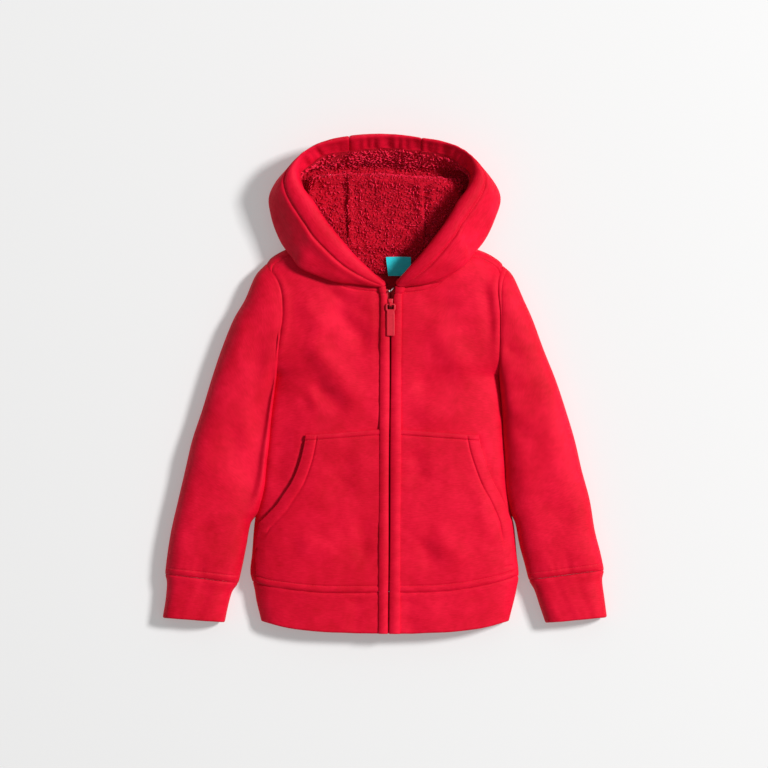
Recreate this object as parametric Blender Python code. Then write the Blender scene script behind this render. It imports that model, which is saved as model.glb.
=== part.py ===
"""A child's zip hoodie in heavy fleece, laid out face up, with its hood open.

The garment lies on its back on the plane z = 0, with the hood towards +Y and the
wearer's left sleeve towards +X.  The origin is on that plane, under the zip line.
Every cloth piece is a wall of real thickness around a hollow.  Lengths in the
tables are in millimetres; objects are built in metres.
"""
import math
from collections import namedtuple

import bmesh
import bpy
from mathutils import Vector

MM = 0.001
ACROSS = Vector((1.0, 0.0, 0.0))
ALONG = Vector((0.0, 1.0, 0.0))
GAP = 0.3                     # between two pieces that are sewn together
CURVED_GAP = 0.6              # the same where both edges are curved and faceted

# ---- cloth ---------------------------------------------------------------
FLEECE = 2.5                  # one layer of the outer fleece
DOUBLE = 4.4                  # cuffs, hem band and front edges: folded double
SHERPA = 3.5                  # hood lining, pile included
SIDE_Z = 11.0                 # height of the side seams above the ground
CURL = 12.0                   # how far in from the side the back leaves the ground
SHOULDER_ROLL = 30.0          # depth of the rounding along the shoulder seams
ARMPIT_EASE = 22.0            # the curled side flattens out above the armpit
ARMHOLE_DIP = 0.94            # the armhole seam lies a little lower than the cloth

# ---- zip -----------------------------------------------------------------
EDGE_WIDTH = 12.6             # width of each turned-in front edge
FRONT_TOP_Y = 201.4           # the front edges end under the hood
EDGE_DOME = 1.9               # how far its middle stands above its sides
ZIP_HALF_GAP = 1.25           # half of the slit between the two front edges
SLIDER_HALF_GAP = 3.1         # the same beside the slider
TAPE_INNER = 2.7              # zip tape, inner edge to zip line
TAPE_THICK = 1.0
CHAIN_HALF = 2.3              # half width of the closed zip chain
CHAIN_THICK = 2.4
CHAIN_TOP_Y = 174.0
SLIDER_Y = 182.0              # centre of the pull's hinge
PULL_WIDTH = 10.4
PULL_LENGTH = 37.0            # from hinge to free end
PULL_THICK = 2.0
PULL_BAR = 0.9                # half thickness of the bar the pull turns on
PULL_HOLE = 4.1               # length of the hole beyond the bar
BRIDGE_INNER = 1.9
BRIDGE_OUTER = 3.4
BRIDGE_WIDTH = 2.2

# ---- body outline: side edges and height at stations up the body ----------
Station = namedtuple("Station", "y left right height")
BODY = (
    Station(-206, -147.5, 136.5, 27.0),
    Station(-189, -150.3, 139.8, 28.0),
    Station(-164, -156.0, 146.0, 29.5),
    Station(-148, -158.7, 149.3, 30.5),
    Station(-132, -163.0, 151.3, 31.5),
    Station(-110, -161.0, 149.0, 32.5),
    Station(-78, -158.5, 146.0, 33.5),
    Station(-61, -156.0, 142.5, 34.0),
    Station(-35, -148.6, 137.5, 34.5),
    Station(-6, -145.7, 136.0, 35.0),
    Station(23, -142.7, 134.0, 35.5),
    Station(70, -138.6, 131.5, 35.5),
    Station(99.4, -135.1, 129.9, 35.0),
    Station(129, -131.0, 129.3, 34.5),
    Station(152, -127.0, 129.5, 34.0),
    Station(173, -124.6, 129.3, 34.0),
    Station(199, -126.9, 126.8, 34.0),
    Station(216, -134.0, 128.6, 34.0),
    Station(229.3, -144.5, 134.0, 34.0),
    Station(260, -146.0, 135.0, 34.0),
)
ARMPIT_Y = 99.4
TIP_Y = {-1: 229.3, 1: 227.0}          # shoulder tips, wearer's right and left
ZIP_LEAN = 0.0061                      # the zip line leans a little
ZIP_X = 0.2

# ---- rows across half of the body: 0 is the zip line, 1 the side -----------
Edge = namedtuple("Edge", "across left right")
TOP_EDGE = (                           # neck seam, then shoulder seam from 0.60 on
    Edge(0.09, 206.0, 205.0),
    Edge(0.20, 206.5, 205.5),
    Edge(0.34, 209.0, 208.5),
    Edge(0.45, 214.0, 215.5),
    Edge(0.52, 226.0, 226.0),
    Edge(0.57, 242.0, 241.0),
    Edge(0.60, 254.0, 253.0),
    Edge(0.68, 252.0, 249.5),
    Edge(0.77, 248.5, 246.0),
    Edge(0.86, 243.5, 241.0),
    Edge(0.94, 237.0, 234.5),
    Edge(0.985, 231.5, 229.5),
    Edge(1.00, 229.3, 227.0),
)
SIDE_NECK = 0.60
HEM_SEAM = (
    Edge(0.00, -154.4, -154.4),
    Edge(0.30, -155.0, -154.4),
    Edge(0.50, -154.5, -152.0),
    Edge(0.70, -151.0, -146.5),
    Edge(0.85, -147.0, -141.0),
    Edge(1.00, -142.0, -135.7),
)
HEM_EDGE = (
    Edge(0.00, -203.6, -203.6),
    Edge(0.30, -202.6, -202.9),
    Edge(0.55, -201.2, -201.2),
    Edge(0.80, -196.8, -196.6),
    Edge(1.00, -189.5, -189.5),
)
BACK_NECK_Y = 239.0                    # lowest point of the back neck seam
BACK_COLUMNS = (0.0, 0.25, 0.45, 0.6, 0.75, 0.86, 0.92, 0.955, 0.98, 0.995, 1.0)
SIDE_ROWS = (-105.0, -65.0, -25.0, 20.0, 62.0)
BAND_COLUMNS = (0.085, 0.2, 0.35, 0.5, 0.65, 0.8, 0.9, 0.955, 0.985, 1.0)

# ---- kangaroo pockets: their slanted openings ------------------------------
Opening = namedtuple("Opening", "y left right")
POCKET_OPENING = (
    Opening(32, -97.5, 103.2),
    Opening(16, -100.0, 106.0),
    Opening(-3, -104.7, 111.7),
    Opening(-25, -113.5, 120.0),
    Opening(-42, -124.5, 129.0),
    Opening(-52, -131.0, 133.5),
    Opening(-64, -142.2, 138.5),
    Opening(-75, -151.5, 141.5),
    Opening(-100, -155.5, 143.5),
    Opening(-160, -153.5, 144.0),
)
POCKET_TOP = 36.0                      # at the zip; it falls away to the side
POCKET_SLOPE = 6.5
POCKET_EASE = 0.7                      # its open edge stands off the front a little

# ---- sleeves: outer and inner edge at stations down the arm -----------------
Arm = namedtuple("Arm", "outer_x outer_y inner_x inner_y height")
SLEEVES = {
    -1: (
        Arm(-144.8, 229.3, -135.4, 99.4, 34.0),
        Arm(-157.4, 215.3, -136.9, 79.6, 34.5),
        Arm(-169.6, 187.2, -139.2, 64.3, 34.5),
        Arm(-183.1, 163.8, -141.0, 46.8, 34.0),
        Arm(-197.1, 128.7, -143.3, 23.4, 33.5),
        Arm(-208.8, 93.6, -145.7, 0.0, 33.5),
        Arm(-219.4, 58.5, -148.6, -23.4, 33.0),
        Arm(-231.1, 23.4, -152.7, -43.3, 33.0),
        Arm(-239.3, -11.7, -157.4, -60.8, 32.5),
        Arm(-247.5, -46.8, -163.2, -77.2, 32.0),
        Arm(-255.6, -81.9, -167.3, -99.4, 31.5),
        Arm(-260.3, -111.1, -171.4, -120.5, 31.0),
        Arm(-263.0, -133.4, -176.7, -143.9, 28.0),
    ),
    1: (
        Arm(133.1, 227.0, 130.2, 99.4, 34.0),
        Arm(144.5, 215.3, 131.0, 79.6, 34.5),
        Arm(157.4, 187.2, 131.6, 64.3, 34.5),
        Arm(167.9, 163.8, 132.8, 46.8, 34.0),
        Arm(180.8, 128.7, 134.0, 23.4, 33.5),
        Arm(194.8, 93.6, 135.7, 0.0, 33.5),
        Arm(206.5, 58.5, 137.5, -23.4, 33.0),
        Arm(217.0, 23.4, 139.8, -43.3, 33.0),
        Arm(225.2, -11.7, 143.3, -60.8, 32.5),
        Arm(234.6, -46.8, 148.0, -77.2, 32.0),
        Arm(240.4, -81.9, 152.1, -99.4, 31.5),
        Arm(246.9, -107.6, 157.9, -120.5, 31.0),
        Arm(251.5, -128.7, 162.9, -140.4, 28.0),
    ),
}
CUFFS = {
    -1: (
        Arm(-263.0, -133.9, -176.8, -144.4, 28.5),
        Arm(-260.7, -142.7, -183.7, -153.3, 27.5),
        Arm(-262.3, -163.8, -188.4, -168.7, 27.0),
        Arm(-265.8, -184.9, -193.0, -190.5, 26.0),
    ),
    1: (
        Arm(251.5, -129.2, 163.0, -140.9, 28.5),
        Arm(249.2, -140.4, 169.6, -152.1, 27.5),
        Arm(252.1, -163.8, 176.1, -171.6, 27.0),
        Arm(254.8, -184.3, 182.9, -191.3, 26.0),
    ),
}
LOOP_COLUMNS = (-1.0, -0.985, -0.93, -0.82, -0.62, -0.33, 0.0,
                0.33, 0.62, 0.82, 0.93, 0.985, 1.0)
SLEEVE_CLEAR = 0.9                     # sleeve to body side
BOW_FADE = (1.0, 0.55, 0.25, 0.08)     # the armhole's curve dies out down the sleeve

# ---- hood: ribs from the foot of the zip (first) to the centre panel (last) --
Rib = namedtuple("Rib", "hem edge crest roll foot neck ease")
HOOD = (
    Rib((-2.5, 209, 31), (-1.9, 205.0, 37.5), (-6, 203.0, 39.5), (-10, 202.2, 38.5),
        (-12, 202.2, 37), (-13, 202.6, 34.8), (0, 0)),
    Rib((-22, 222, 28), (-22.8, 221, 44), (-31, 213, 47), (-38, 206.4, 42.5),
        (-39, 205.0, 38), (-37.5, 205.4, 34.8), (-4, 0)),
    Rib((-43, 242, 30), (-43.9, 241, 49), (-57, 229, 52), (-67, 212, 44),
        (-66, 209.4, 38.5), (-63, 210.2, 34.8), (-6, 3)),
    Rib((-70, 272, 31), (-69.6, 271.4, 51), (-86, 257, 54), (-101.2, 226, 42),
        (-97, 224.5, 36), (-88, 228, 33.5), (-10, 5)),
    Rib((-79, 286, 31), (-80.5, 286, 51), (-98, 274, 53), (-115, 240, 33),
        (-107, 242.5, 27.5), (-87, 246, 28.5), (-13, 2)),
    Rib((-88, 300, 31), (-89.5, 300.7, 51), (-108, 289, 52), (-128, 257, 24),
        (-117, 262, 8), (-87, 260, 11), (-11, 0)),
    Rib((-100, 317, 30), (-103.5, 319.4, 50), (-120, 310, 50), (-138.6, 285, 23),
        (-124, 281, 0), (-80, 256, 0), (-6, 0)),
    Rib((-104, 334, 29), (-109.4, 337, 48), (-123, 330, 48.5), (-141, 309, 22),
        (-126, 304, 0), (-72, 251.5, 0), (-2, 0)),
    Rib((-95, 343, 31), (-102.4, 353.9, 46), (-111, 351, 47), (-127, 331, 22),
        (-112, 318, 0), (-64, 248.8, 0), (0, 0)),
    Rib((-80, 355, 33), (-87.2, 367.0, 45), (-91, 367.6, 45), (-97, 362, 29),
        (-88, 341, 0), (-56, 246.6, 0), (0, 0)),
    Rib((-66, 359, 33), (-68.4, 373.0, 45.4), (-70, 376.4, 43), (-70, 375, 31),
        (-66, 347, 0), (-51, 245.5, 0), (0, 0)),
    Rib((-47.2, 361.5, 33), (-47.2, 377.4, 45.5), (-47.2, 380.8, 42.5), (-47.2, 380, 31),
        (-47.2, 350, 0), (-47.2, 244.6, 0), (0, 0)),
)
HOOD_KNOTS = (0.0, 0.16, 0.30, 0.46, 0.66, 1.0)
HOOD_MIDDLE = ((203, 0.9), (221, -1.0), (241, -2.4), (271, -3.6), (320, -4.7), (400, -4.7))
HIDDEN_CLEAR = 1.6                     # more room where the hood hides the shoulder
CENTRE_BULGE = 3.4                     # the centre panel's top edge bows out

# ---- hood lining: ribs that follow the last eight hood ribs ------------------
Lining = namedtuple("Lining", "low crest plateau neck")
LINING = (
    Lining((-87, 271, 14), (-78, 266, 13), (-70, 260, 11), (-64, 252, 6.8)),
    Lining((-98, 287, 14), (-87, 280, 15), (-74, 269, 14), (-62, 251, 6.8)),
    Lining((-107, 303, 14), (-96, 295, 16.5), (-78, 279, 17), (-60, 250, 6.8)),
    Lining((-108, 319, 14), (-96, 309, 18), (-75, 285, 18.5), (-58, 249, 6.8)),
    Lining((-97, 335, 12), (-87, 325, 20), (-68, 289, 19), (-55, 248, 6.8)),
    Lining((-77, 338, 11), (-72, 328, 21), (-60, 290, 19), (-52, 247, 6.8)),
    Lining((-62, 338.5, 10.5), (-59, 329, 21.5), (-53, 290, 19), (-49.5, 246.5, 6.8)),
    Lining((-47.2, 339, 10), (-47.2, 329, 22), (-47.2, 290, 19), (-47.2, 246, 6.8)),
)
LINING_STEP = 0.6                      # lining to turned-in edge
LINING_KNOTS = (0.0, 0.28, 0.42, 0.68, 1.0)

# ---- label -------------------------------------------------------------------
LABEL = {"x": (-4.1, 25.2), "y": (215.3, 237.5), "top_z": 7.0, "end_z": 3.9, "thick": 0.7}


# ==== small tools ==============================================================
def spline(knots, values, at):
    """Smooth curve through values at knots; numbers or vectors."""
    last = len(knots) - 1
    k = 0
    while k < last - 1 and at > knots[k + 1]:
        k += 1
    span = knots[k + 1] - knots[k]
    f = min(max((at - knots[k]) / span, 0.0), 1.0)

    def slope(i):
        low = max(i - 1, 0)
        high = min(i + 1, last)
        return (values[high] - values[low]) / (knots[high] - knots[low])

    f2 = f * f
    f3 = f2 * f
    return (values[k] * (2 * f3 - 3 * f2 + 1) + slope(k) * (span * (f3 - 2 * f2 + f))
            + values[k + 1] * (3 * f2 - 2 * f3) + slope(k + 1) * (span * (f3 - f2)))


def column(table, name):
    return [getattr(row, name) for row in table]


def smooth(low, high, value):
    """Soft step from 0 at low to 1 at high."""
    f = min(max((value - low) / (high - low), 0.0), 1.0)
    return f * f * (3.0 - 2.0 * f)


def side_name(side):
    return "left" if side < 0 else "right"


def picked(values, at):
    """The value a share of the way along a list, on straight lines between."""
    place = at * (len(values) - 1)
    k = min(int(place), len(values) - 2)
    return values[k] + (values[k + 1] - values[k]) * (place - k)


def armpit_rise(distance):
    """The same share along the armhole, this far above the armpit."""
    return (curl(distance) + 1.0 - smooth(0.0, ARMPIT_EASE, distance)) / 2.0


def curl(distance):
    """Share of SIDE_Z that the back panel has risen this far in from a closed edge."""
    if distance >= CURL:
        return 0.0
    reach = 1.0 - max(distance, 0.0) / CURL
    return 1.0 - math.sqrt(1.0 - reach * reach)


# ==== the body's two surfaces ===================================================
def zip_x(y):
    return ZIP_X + ZIP_LEAN * y


def outline_x(side, y):
    return spline(column(BODY, "y"), column(BODY, side_name(side)), y)


def side_x(side, y):
    """The body's side edge; along the armhole it is straight between set marks."""
    if not ARMPIT_Y < y < TIP_Y[side]:
        return outline_x(side, y)
    half = (TIP_Y[side] - ARMPIT_Y) / 2.0
    t = (y - ARMPIT_Y) / half - 1.0
    k = max(i for i in range(len(LOOP_COLUMNS) - 1) if LOOP_COLUMNS[i] <= t)
    low, high = LOOP_COLUMNS[k], LOOP_COLUMNS[k + 1]
    x_low = outline_x(side, ARMPIT_Y + half * (low + 1.0))
    x_high = outline_x(side, ARMPIT_Y + half * (high + 1.0))
    return x_low + (x_high - x_low) * (t - low) / (high - low)


def crown(y):
    return spline(column(BODY, "y"), column(BODY, "height"), y)


def edge_y(table, side, across):
    return spline(column(table, "across"), column(table, side_name(side)), across)


def hem_seam_y(side, across):
    """The seam above the hem band, straight between its marks."""
    shares = column(HEM_SEAM, "across")
    values = column(HEM_SEAM, side_name(side))
    k = max(i for i in range(len(shares) - 1) if shares[i] <= across)
    share = (across - shares[k]) / (shares[k + 1] - shares[k])
    return values[k] + (values[k + 1] - values[k]) * share


def shoulder_y(side, across):
    """The shoulder seam, carried on over the neck opening."""
    if across >= SIDE_NECK:
        return edge_y(TOP_EDGE, side, across)
    return edge_y(TOP_EDGE, side, SIDE_NECK) + (SIDE_NECK - across) * 60.0


def arch(side, y):
    """Height share of the armhole seam, 0 at the armpit and at the shoulder tip."""
    w = (2.0 * y - ARMPIT_Y - TIP_Y[side]) / (TIP_Y[side] - ARMPIT_Y)
    return ARMHOLE_DIP * math.sqrt(max(1.0 - min(abs(w), 1.0) ** 4, 0.0))


def top_z(side, across, y):
    """Outer surface of the upper layer."""
    armhole = arch(side, y)
    across = min(max(across, 0.0), 1.0)
    fall = math.sqrt(max(1.0 - across ** 4 * (1.0 - armhole * armhole), 0.0))
    depth = 1.0 - min(max(shoulder_y(side, across) - y, 0.0) / SHOULDER_ROLL, 1.0)
    roll = math.sqrt(max(1.0 - depth * depth, 0.0))
    if y > ARMPIT_Y:
        roll += (1.0 - roll) * across ** 12
    return SIDE_Z + (crown(y) - SIDE_Z) * fall * roll


def top_point(side, across, y):
    x = zip_x(y) + across * (side_x(side, y) - zip_x(y))
    return Vector((x, y, top_z(side, across, y)))


def under_point(side, across, y):
    """Outer surface of the lower layer: flat, curling up to its closed edges."""
    half = abs(side_x(side, y) - zip_x(y))
    to_side = (1.0 - across) * half
    rise = curl(to_side) * armpit_rise(max(y - ARMPIT_Y, 0.0))
    if across > SIDE_NECK - 0.05:
        to_shoulder = shoulder_y(side, across) - y
        rise = max(rise, curl(to_shoulder) * smooth(SIDE_NECK - 0.05, SIDE_NECK + 0.02, across))
    x = zip_x(y) + across * (side_x(side, y) - zip_x(y))
    return Vector((x, y, SIDE_Z * rise))


def groove(side, y):
    """Where a turned-in front edge ends, as a share of the half width."""
    return (EDGE_WIDTH + GAP) / abs(side_x(side, y) - zip_x(y))


# ==== building cloth ==============================================================
def material(name, colour, roughness, metallic=0.0):
    made = bpy.data.materials.new(name)
    made.use_nodes = True
    shader = made.node_tree.nodes["Principled BSDF"]
    shader.inputs["Base Color"].default_value = (*colour, 1.0)
    shader.inputs["Roughness"].default_value = roughness
    shader.inputs["Metallic"].default_value = metallic
    return made


def place(name, mesh_data, finish, collection):
    mesh = bpy.data.meshes.new(name)
    mesh_data.to_mesh(mesh)
    mesh_data.free()
    mesh.shade_smooth()
    mesh.set_sharp_from_angle(angle=math.radians(40))
    made = bpy.data.objects.new(name, mesh)
    made.data.materials.append(finish)
    collection.objects.link(made)
    return made


def normal_at(surface, u, v, loop, level=None):
    """Unit normal of a surface, from short steps that stay on it.

    level(u, v, point) may name axes that the normal has to be square to, as along a
    seam, so that the walls on both sides of it stay apart through their depth.
    """
    step = 0.002
    axes = level(u, v, surface(u, v)) if level else ()
    for inset in (0.0, 0.01, 0.03, 0.08):
        cu = u if loop else min(max(u, inset), 1.0 - inset)
        cv = min(max(v, inset), 1.0 - inset)
        low_u = (cu - step) % 1.0 if loop else max(cu - step, 0.0)
        high_u = (cu + step) % 1.0 if loop else min(cu + step, 1.0)
        along = surface(high_u, cv) - surface(low_u, cv)
        up = surface(cu, min(cv + step, 1.0)) - surface(cu, max(cv - step, 0.0))
        normal = along.cross(up)
        if normal.length < 0.05 * along.length * up.length or normal.length < 1e-9:
            continue
        normal.normalize()
        for axis in axes:
            normal -= axis * normal.dot(axis)
        if normal.length > 0.2:
            return normal.normalized()
    return Vector((0.0, 0.0, 1.0))


def face_outwards(mesh):
    bmesh.ops.recalc_face_normals(mesh, faces=mesh.faces[:])
    if mesh.calc_volume(signed=True) < 0.0:
        bmesh.ops.reverse_faces(mesh, faces=mesh.faces[:])


def cloth_wall(surface, columns, rows, thickness, loop=False, flip=False, keep=None, level=None):
    """A wall whose outer face is surface(u, v), in mm, for u and v from 0 to 1.

    A flat grid is extruded once; the first layer goes to the surface and the
    second one lies its thickness behind it, along the surface's own normals.
    """
    mesh = bmesh.new()
    bmesh.ops.create_grid(mesh, x_segments=columns, y_segments=rows, size=0.5)
    outer = list(mesh.verts)
    grown = bmesh.ops.extrude_face_region(mesh, geom=mesh.faces[:])["geom"]
    inner = [item for item in grown if isinstance(item, bmesh.types.BMVert)]
    if loop:
        borders = [f for f in mesh.faces
                   if all(abs(abs(v.co.x) - 0.5) < 1e-6 for v in f.verts)]
        bmesh.ops.delete(mesh, geom=borders, context="FACES")
        outer = [vert for vert in outer if vert.is_valid]
        inner = [vert for vert in inner if vert.is_valid]
    places = {vert: (vert.co.x + 0.5, vert.co.y + 0.5) for vert in mesh.verts}
    for vert in outer:
        vert.co = surface(*places[vert]) * MM
    for vert in inner:
        u, v = places[vert]
        way = normal_at(surface, u % 1.0 if loop else u, v, loop, level) * (1.0 if flip else -1.0)
        depth = thickness(u, v) if callable(thickness) else thickness
        point = surface(u, v) + way * depth
        vert.co = (keep(point) if keep else point) * MM
    if loop:
        bmesh.ops.remove_doubles(mesh, verts=mesh.verts[:], dist=1e-6)
    face_outwards(mesh)
    return mesh


def armhole_axis(side, y):
    """The direction on the ground that crosses the armhole seam squarely."""
    lean = (side_x(side, y + 1.0) - side_x(side, y - 1.0)) / 2.0
    return Vector((1.0, -lean, 0.0)).normalized()


def level_body(u, v, point):
    """Square to the hem seam below and to the armhole seams at the sides."""
    if v < 0.001:
        return (ALONG,)
    side = -1 if point.x < 0.0 else 1
    at_side = abs(point.x - side_x(side, point.y)) < 0.01
    if at_side and ARMPIT_Y + 5.0 < point.y < TIP_Y[1] - 2.0:
        return (armhole_axis(side, point.y),)
    return ()


def level_seam_below(u, v, point):
    return (ALONG,) if v < 0.001 else ()


def level_seam_above(u, v, point):
    return (ALONG,) if v > 0.999 else ()


def level_tube(side, arms, is_sleeve):
    def level(u, v, point):
        if is_sleeve and v < 0.001:
            return (armhole_axis(side, point.y),)
        if v > 0.999 or v < 0.001:
            arm = arms[-1] if v > 0.5 else arms[0]
            chord = Vector((arm.outer_x - arm.inner_x, arm.outer_y - arm.inner_y, 0.0))
            return (Vector((-chord.y, chord.x, 0.0)).normalized(),)
        return ()

    return level


# ==== body pieces ===================================================================
def front_rows(side):
    """Rows of a front panel, as shares of its height; they meet the armhole's marks."""
    low = hem_seam_y(side, 1.0) + CURVED_GAP / 2
    high = TIP_Y[side]
    marks = [ARMPIT_Y + (high - ARMPIT_Y) * (t + 1.0) / 2.0 for t in LOOP_COLUMNS]
    return [(y - low) / (high - low) for y in [low] + list(SIDE_ROWS) + marks]


def front_surface(side):
    shares = column(TOP_EDGE, "across")
    rows = front_rows(side)

    def surface(u, v):
        across = picked(shares, u)
        low = hem_seam_y(side, across) + CURVED_GAP / 2
        high = edge_y(TOP_EDGE, side, across)
        y = low + (high - low) * picked(rows, v)
        across = across + (groove(side, y) - shares[0]) * (1.0 - across) / (1.0 - shares[0])
        point = top_point(side, across, y)
        point.z += GAP / 2
        return point

    return surface


def above_side(point):
    return Vector((point.x, point.y, max(point.z, SIDE_Z + GAP / 2)))


def below_side(point):
    return Vector((point.x, point.y, min(point.z, SIDE_Z - GAP / 2)))


def back_neck_y(across):
    return BACK_NECK_Y + 14.0 * (across / SIDE_NECK) ** 2


def back_surface(u, v):
    shares = [-share for share in reversed(BACK_COLUMNS[1:])] + list(BACK_COLUMNS)
    across = picked(shares, u)
    side = -1 if across < 0 else 1
    across = abs(across)
    low = hem_seam_y(side, across) + CURVED_GAP / 2
    if across < SIDE_NECK:
        high = back_neck_y(across)
    else:
        high = edge_y(TOP_EDGE, side, across)
    y = high - (high - low) * (1.0 - v) ** 1.8
    point = under_point(side, across, y)
    point.z = min(point.z, SIDE_Z - GAP / 2)
    return point


def pocket_across(side, share, y):
    """From the front edge (share 0) to the pocket's opening or side seam (1)."""
    outer = spline([-row.y for row in POCKET_OPENING],
                   column(POCKET_OPENING, side_name(side)), -y)
    most = (outer - zip_x(y)) / (side_x(side, y) - zip_x(y))
    least = groove(side, y)
    return least + (min(most, 0.97) - least) * share


def pocket_surface(side):
    def surface(u, v):
        share = 1.0 - (1.0 - u) ** 1.4
        y_side = POCKET_TOP - POCKET_SLOPE * share
        low = hem_seam_y(side, pocket_across(side, share, -150.0)) + CURVED_GAP / 2
        y = low + (y_side - low) * v
        across = pocket_across(side, share, y)
        base = lambda a, b: top_point(side, min(max(a, 0.0), 0.985), b)
        step = 0.004
        along = base(across + step, y) - base(across - step, y)
        up = base(across, y + 1.0) - base(across, y - 1.0)
        normal = along.cross(up) * side
        lift = FLEECE + GAP + POCKET_EASE * smooth(0.35, 0.8, across)
        return base(across, y) + normal.normalized() * lift + Vector((0, 0, GAP / 2))

    return surface


def band_surface(u, v):
    """Hem band: from one front edge round the back to the other."""
    top = list(BAND_COLUMNS)
    under = [-share for share in reversed(BACK_COLUMNS[1:])] + list(BACK_COLUMNS)
    count = 2 * (len(top) - 1) + len(under) - 1
    place_on = u * count
    if place_on <= len(top) - 1:
        side, across, above = -1, picked(top, place_on / (len(top) - 1)), True
    elif place_on >= count - (len(top) - 1):
        side, across, above = 1, picked(top, (count - place_on) / (len(top) - 1)), True
    else:
        share = picked(under, (place_on - len(top) + 1) / (len(under) - 1))
        side, across, above = (-1 if share < 0 else 1), abs(share), False
    high = hem_seam_y(side, across) - CURVED_GAP / 2
    low = edge_y(HEM_EDGE, side, across)
    y = low + (high - low) * v
    if not above:
        return under_point(side, across, y)
    least = groove(side, y)
    across = across + (least - top[0]) * (1.0 - across) / (1.0 - top[0])
    point = top_point(side, across, y)
    point.z += 2.1 * smooth(1.0, 0.9, across)
    return point


def raised(y):
    """How far the front edge is lifted by the layers that it is sewn over."""
    return 2.3 * (1.0 - smooth(POCKET_TOP - 8.0, POCKET_TOP + 24.0, y))


def front_edge_surface(side):
    def surface(u, v):
        y = HEM_EDGE[0].left + (FRONT_TOP_Y - HEM_EDGE[0].left) * v
        slider = smooth(167.0, 173.0, y) * (1.0 - smooth(190.0, 196.0, y))
        inner = ZIP_HALF_GAP + (SLIDER_HALF_GAP - ZIP_HALF_GAP) * slider
        inner += 1.5 * smooth(196.0, FRONT_TOP_Y, y)
        reach = inner + (EDGE_WIDTH - inner) * u
        dome = EDGE_DOME * (1.0 - (2.0 * u - 1.0) ** 2)
        point = top_point(side, reach / abs(side_x(side, y) - zip_x(y)), y)
        point.z += raised(y) + dome
        return point

    return surface


def tape_surface(side):
    def surface(u, v):
        y = HEM_EDGE[0].left + 1.6 + (FRONT_TOP_Y - 1.6 - HEM_EDGE[0].left) * v
        reach = TAPE_INNER + (EDGE_WIDTH - 1.5 - TAPE_INNER) * u
        point = top_point(side, reach / abs(side_x(side, y) - zip_x(y)), y)
        point.z += raised(y) - DOUBLE - 2.0 * GAP
        return point

    return surface


def chain_surface(u, v):
    y = HEM_EDGE[0].left + 1.6 + (CHAIN_TOP_Y - 1.6 - HEM_EDGE[0].left) * v
    return Vector((zip_x(y) + CHAIN_HALF * (2.0 * u - 1.0), y,
                   crown(y) + raised(y) - DOUBLE - GAP))


# ==== sleeves and cuffs ==============================================================
def tube_surface(side, arms, is_sleeve):
    knots = list(range(len(arms)))
    fade = list(BOW_FADE) + [0.0] * (len(arms) - len(BOW_FADE))

    def surface(u, v):
        at = v * (len(arms) - 1)
        outer = Vector((spline(knots, column(arms, "outer_x"), at),
                        spline(knots, column(arms, "outer_y"), at), 0.0))
        inner = Vector((spline(knots, column(arms, "inner_x"), at),
                        spline(knots, column(arms, "inner_y"), at), 0.0))
        height = spline(knots, column(arms, "height"), at)
        on_top = u <= 0.5
        t = picked(LOOP_COLUMNS, 2.0 * u if on_top else 2.0 * (1.0 - u))
        if is_sleeve and inner.y > -64.0 and at > 0.5:
            limit = side_x(side, inner.y) + side * SLEEVE_CLEAR
            inner.x = max(inner.x * side, limit * side) * side
        point = inner + (outer - inner) * (t + 1.0) / 2.0
        if is_sleeve:
            seam_y = ARMPIT_Y + (TIP_Y[side] - ARMPIT_Y) * (t + 1.0) / 2.0
            chord = arms[0].inner_x + (arms[0].outer_x - arms[0].inner_x) * (t + 1.0) / 2.0
            bow = side_x(side, seam_y) + side * CURVED_GAP - chord
            point.x += bow * spline(knots, fade, at)
        fall = math.sqrt(max(1.0 - t ** 4, 0.0))
        if is_sleeve:
            fall *= ARMHOLE_DIP + (1.0 - ARMHOLE_DIP) * smooth(0.0, 0.8, at)
        if on_top:
            point.z = SIDE_Z + (height - SIDE_Z) * fall
        else:
            width = (outer - inner).length
            rise = curl((1.0 - abs(t)) * width / 2.0)
            if is_sleeve and t < 0.0:
                flat = armpit_rise((1.0 + t) * width / 2.0)
                rise = flat + (rise - flat) * smooth(0.0, 1.0, at)
            point.z = SIDE_Z * rise
        return point

    return surface


# ==== hood ============================================================================
def hood_middle(y):
    return spline([row[0] for row in HOOD_MIDDLE], [row[1] for row in HOOD_MIDDLE], y)


def on_side(point, side, ease=(0.0, 0.0)):
    """A point of the left half, or its partner on the right half."""
    x, y, z = point
    if side < 0:
        return Vector((x, y, z))
    return Vector((2.0 * hood_middle(y) - x + ease[0], y + ease[1], z))


def hood_controls(side, at):
    """The control points of the rib at this place along the hood."""
    knots = list(range(len(HOOD)))
    points = []
    for name in ("hem", "edge", "crest", "roll", "foot", "neck"):
        share = {"roll": 1.0, "foot": 0.9, "crest": 0.5}.get(name, 0.0)
        rows = [on_side(getattr(rib, name), side, (rib.ease[0] * share, rib.ease[1] * share))
                for rib in HOOD]
        points.append(spline(knots, rows, at))
    return points


def over_body(point):
    """Lifts a point that lies over the front panels clear of them."""
    side = -1 if point.x < zip_x(point.y) else 1
    across = (point.x - zip_x(point.y)) / (side_x(side, point.y) - zip_x(point.y))
    if across < 1.0 and point.y < edge_y(TOP_EDGE, side, max(across, 0.09)) + 1.0:
        clear = 2.0 * GAP + HIDDEN_CLEAR * smooth(0.4, 0.6, across)
        point.z = max(point.z, top_z(side, across, point.y) + clear)
    point.z = max(point.z, 0.0)
    return point


def hood_depth(u, v):
    """The wall is pressed thin in the fold of the edge and where it meets the neck."""
    fold = 0.7 * math.exp(-((v - 0.22) / 0.11) ** 2)
    neck = 0.6 * smooth(0.42, 0.6, v) * (1.0 - smooth(0.5, 0.64, u))
    return FLEECE * (1.0 - max(fold, neck))


def centre_depth(u, v):
    return hood_depth(1.0, v)


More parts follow.
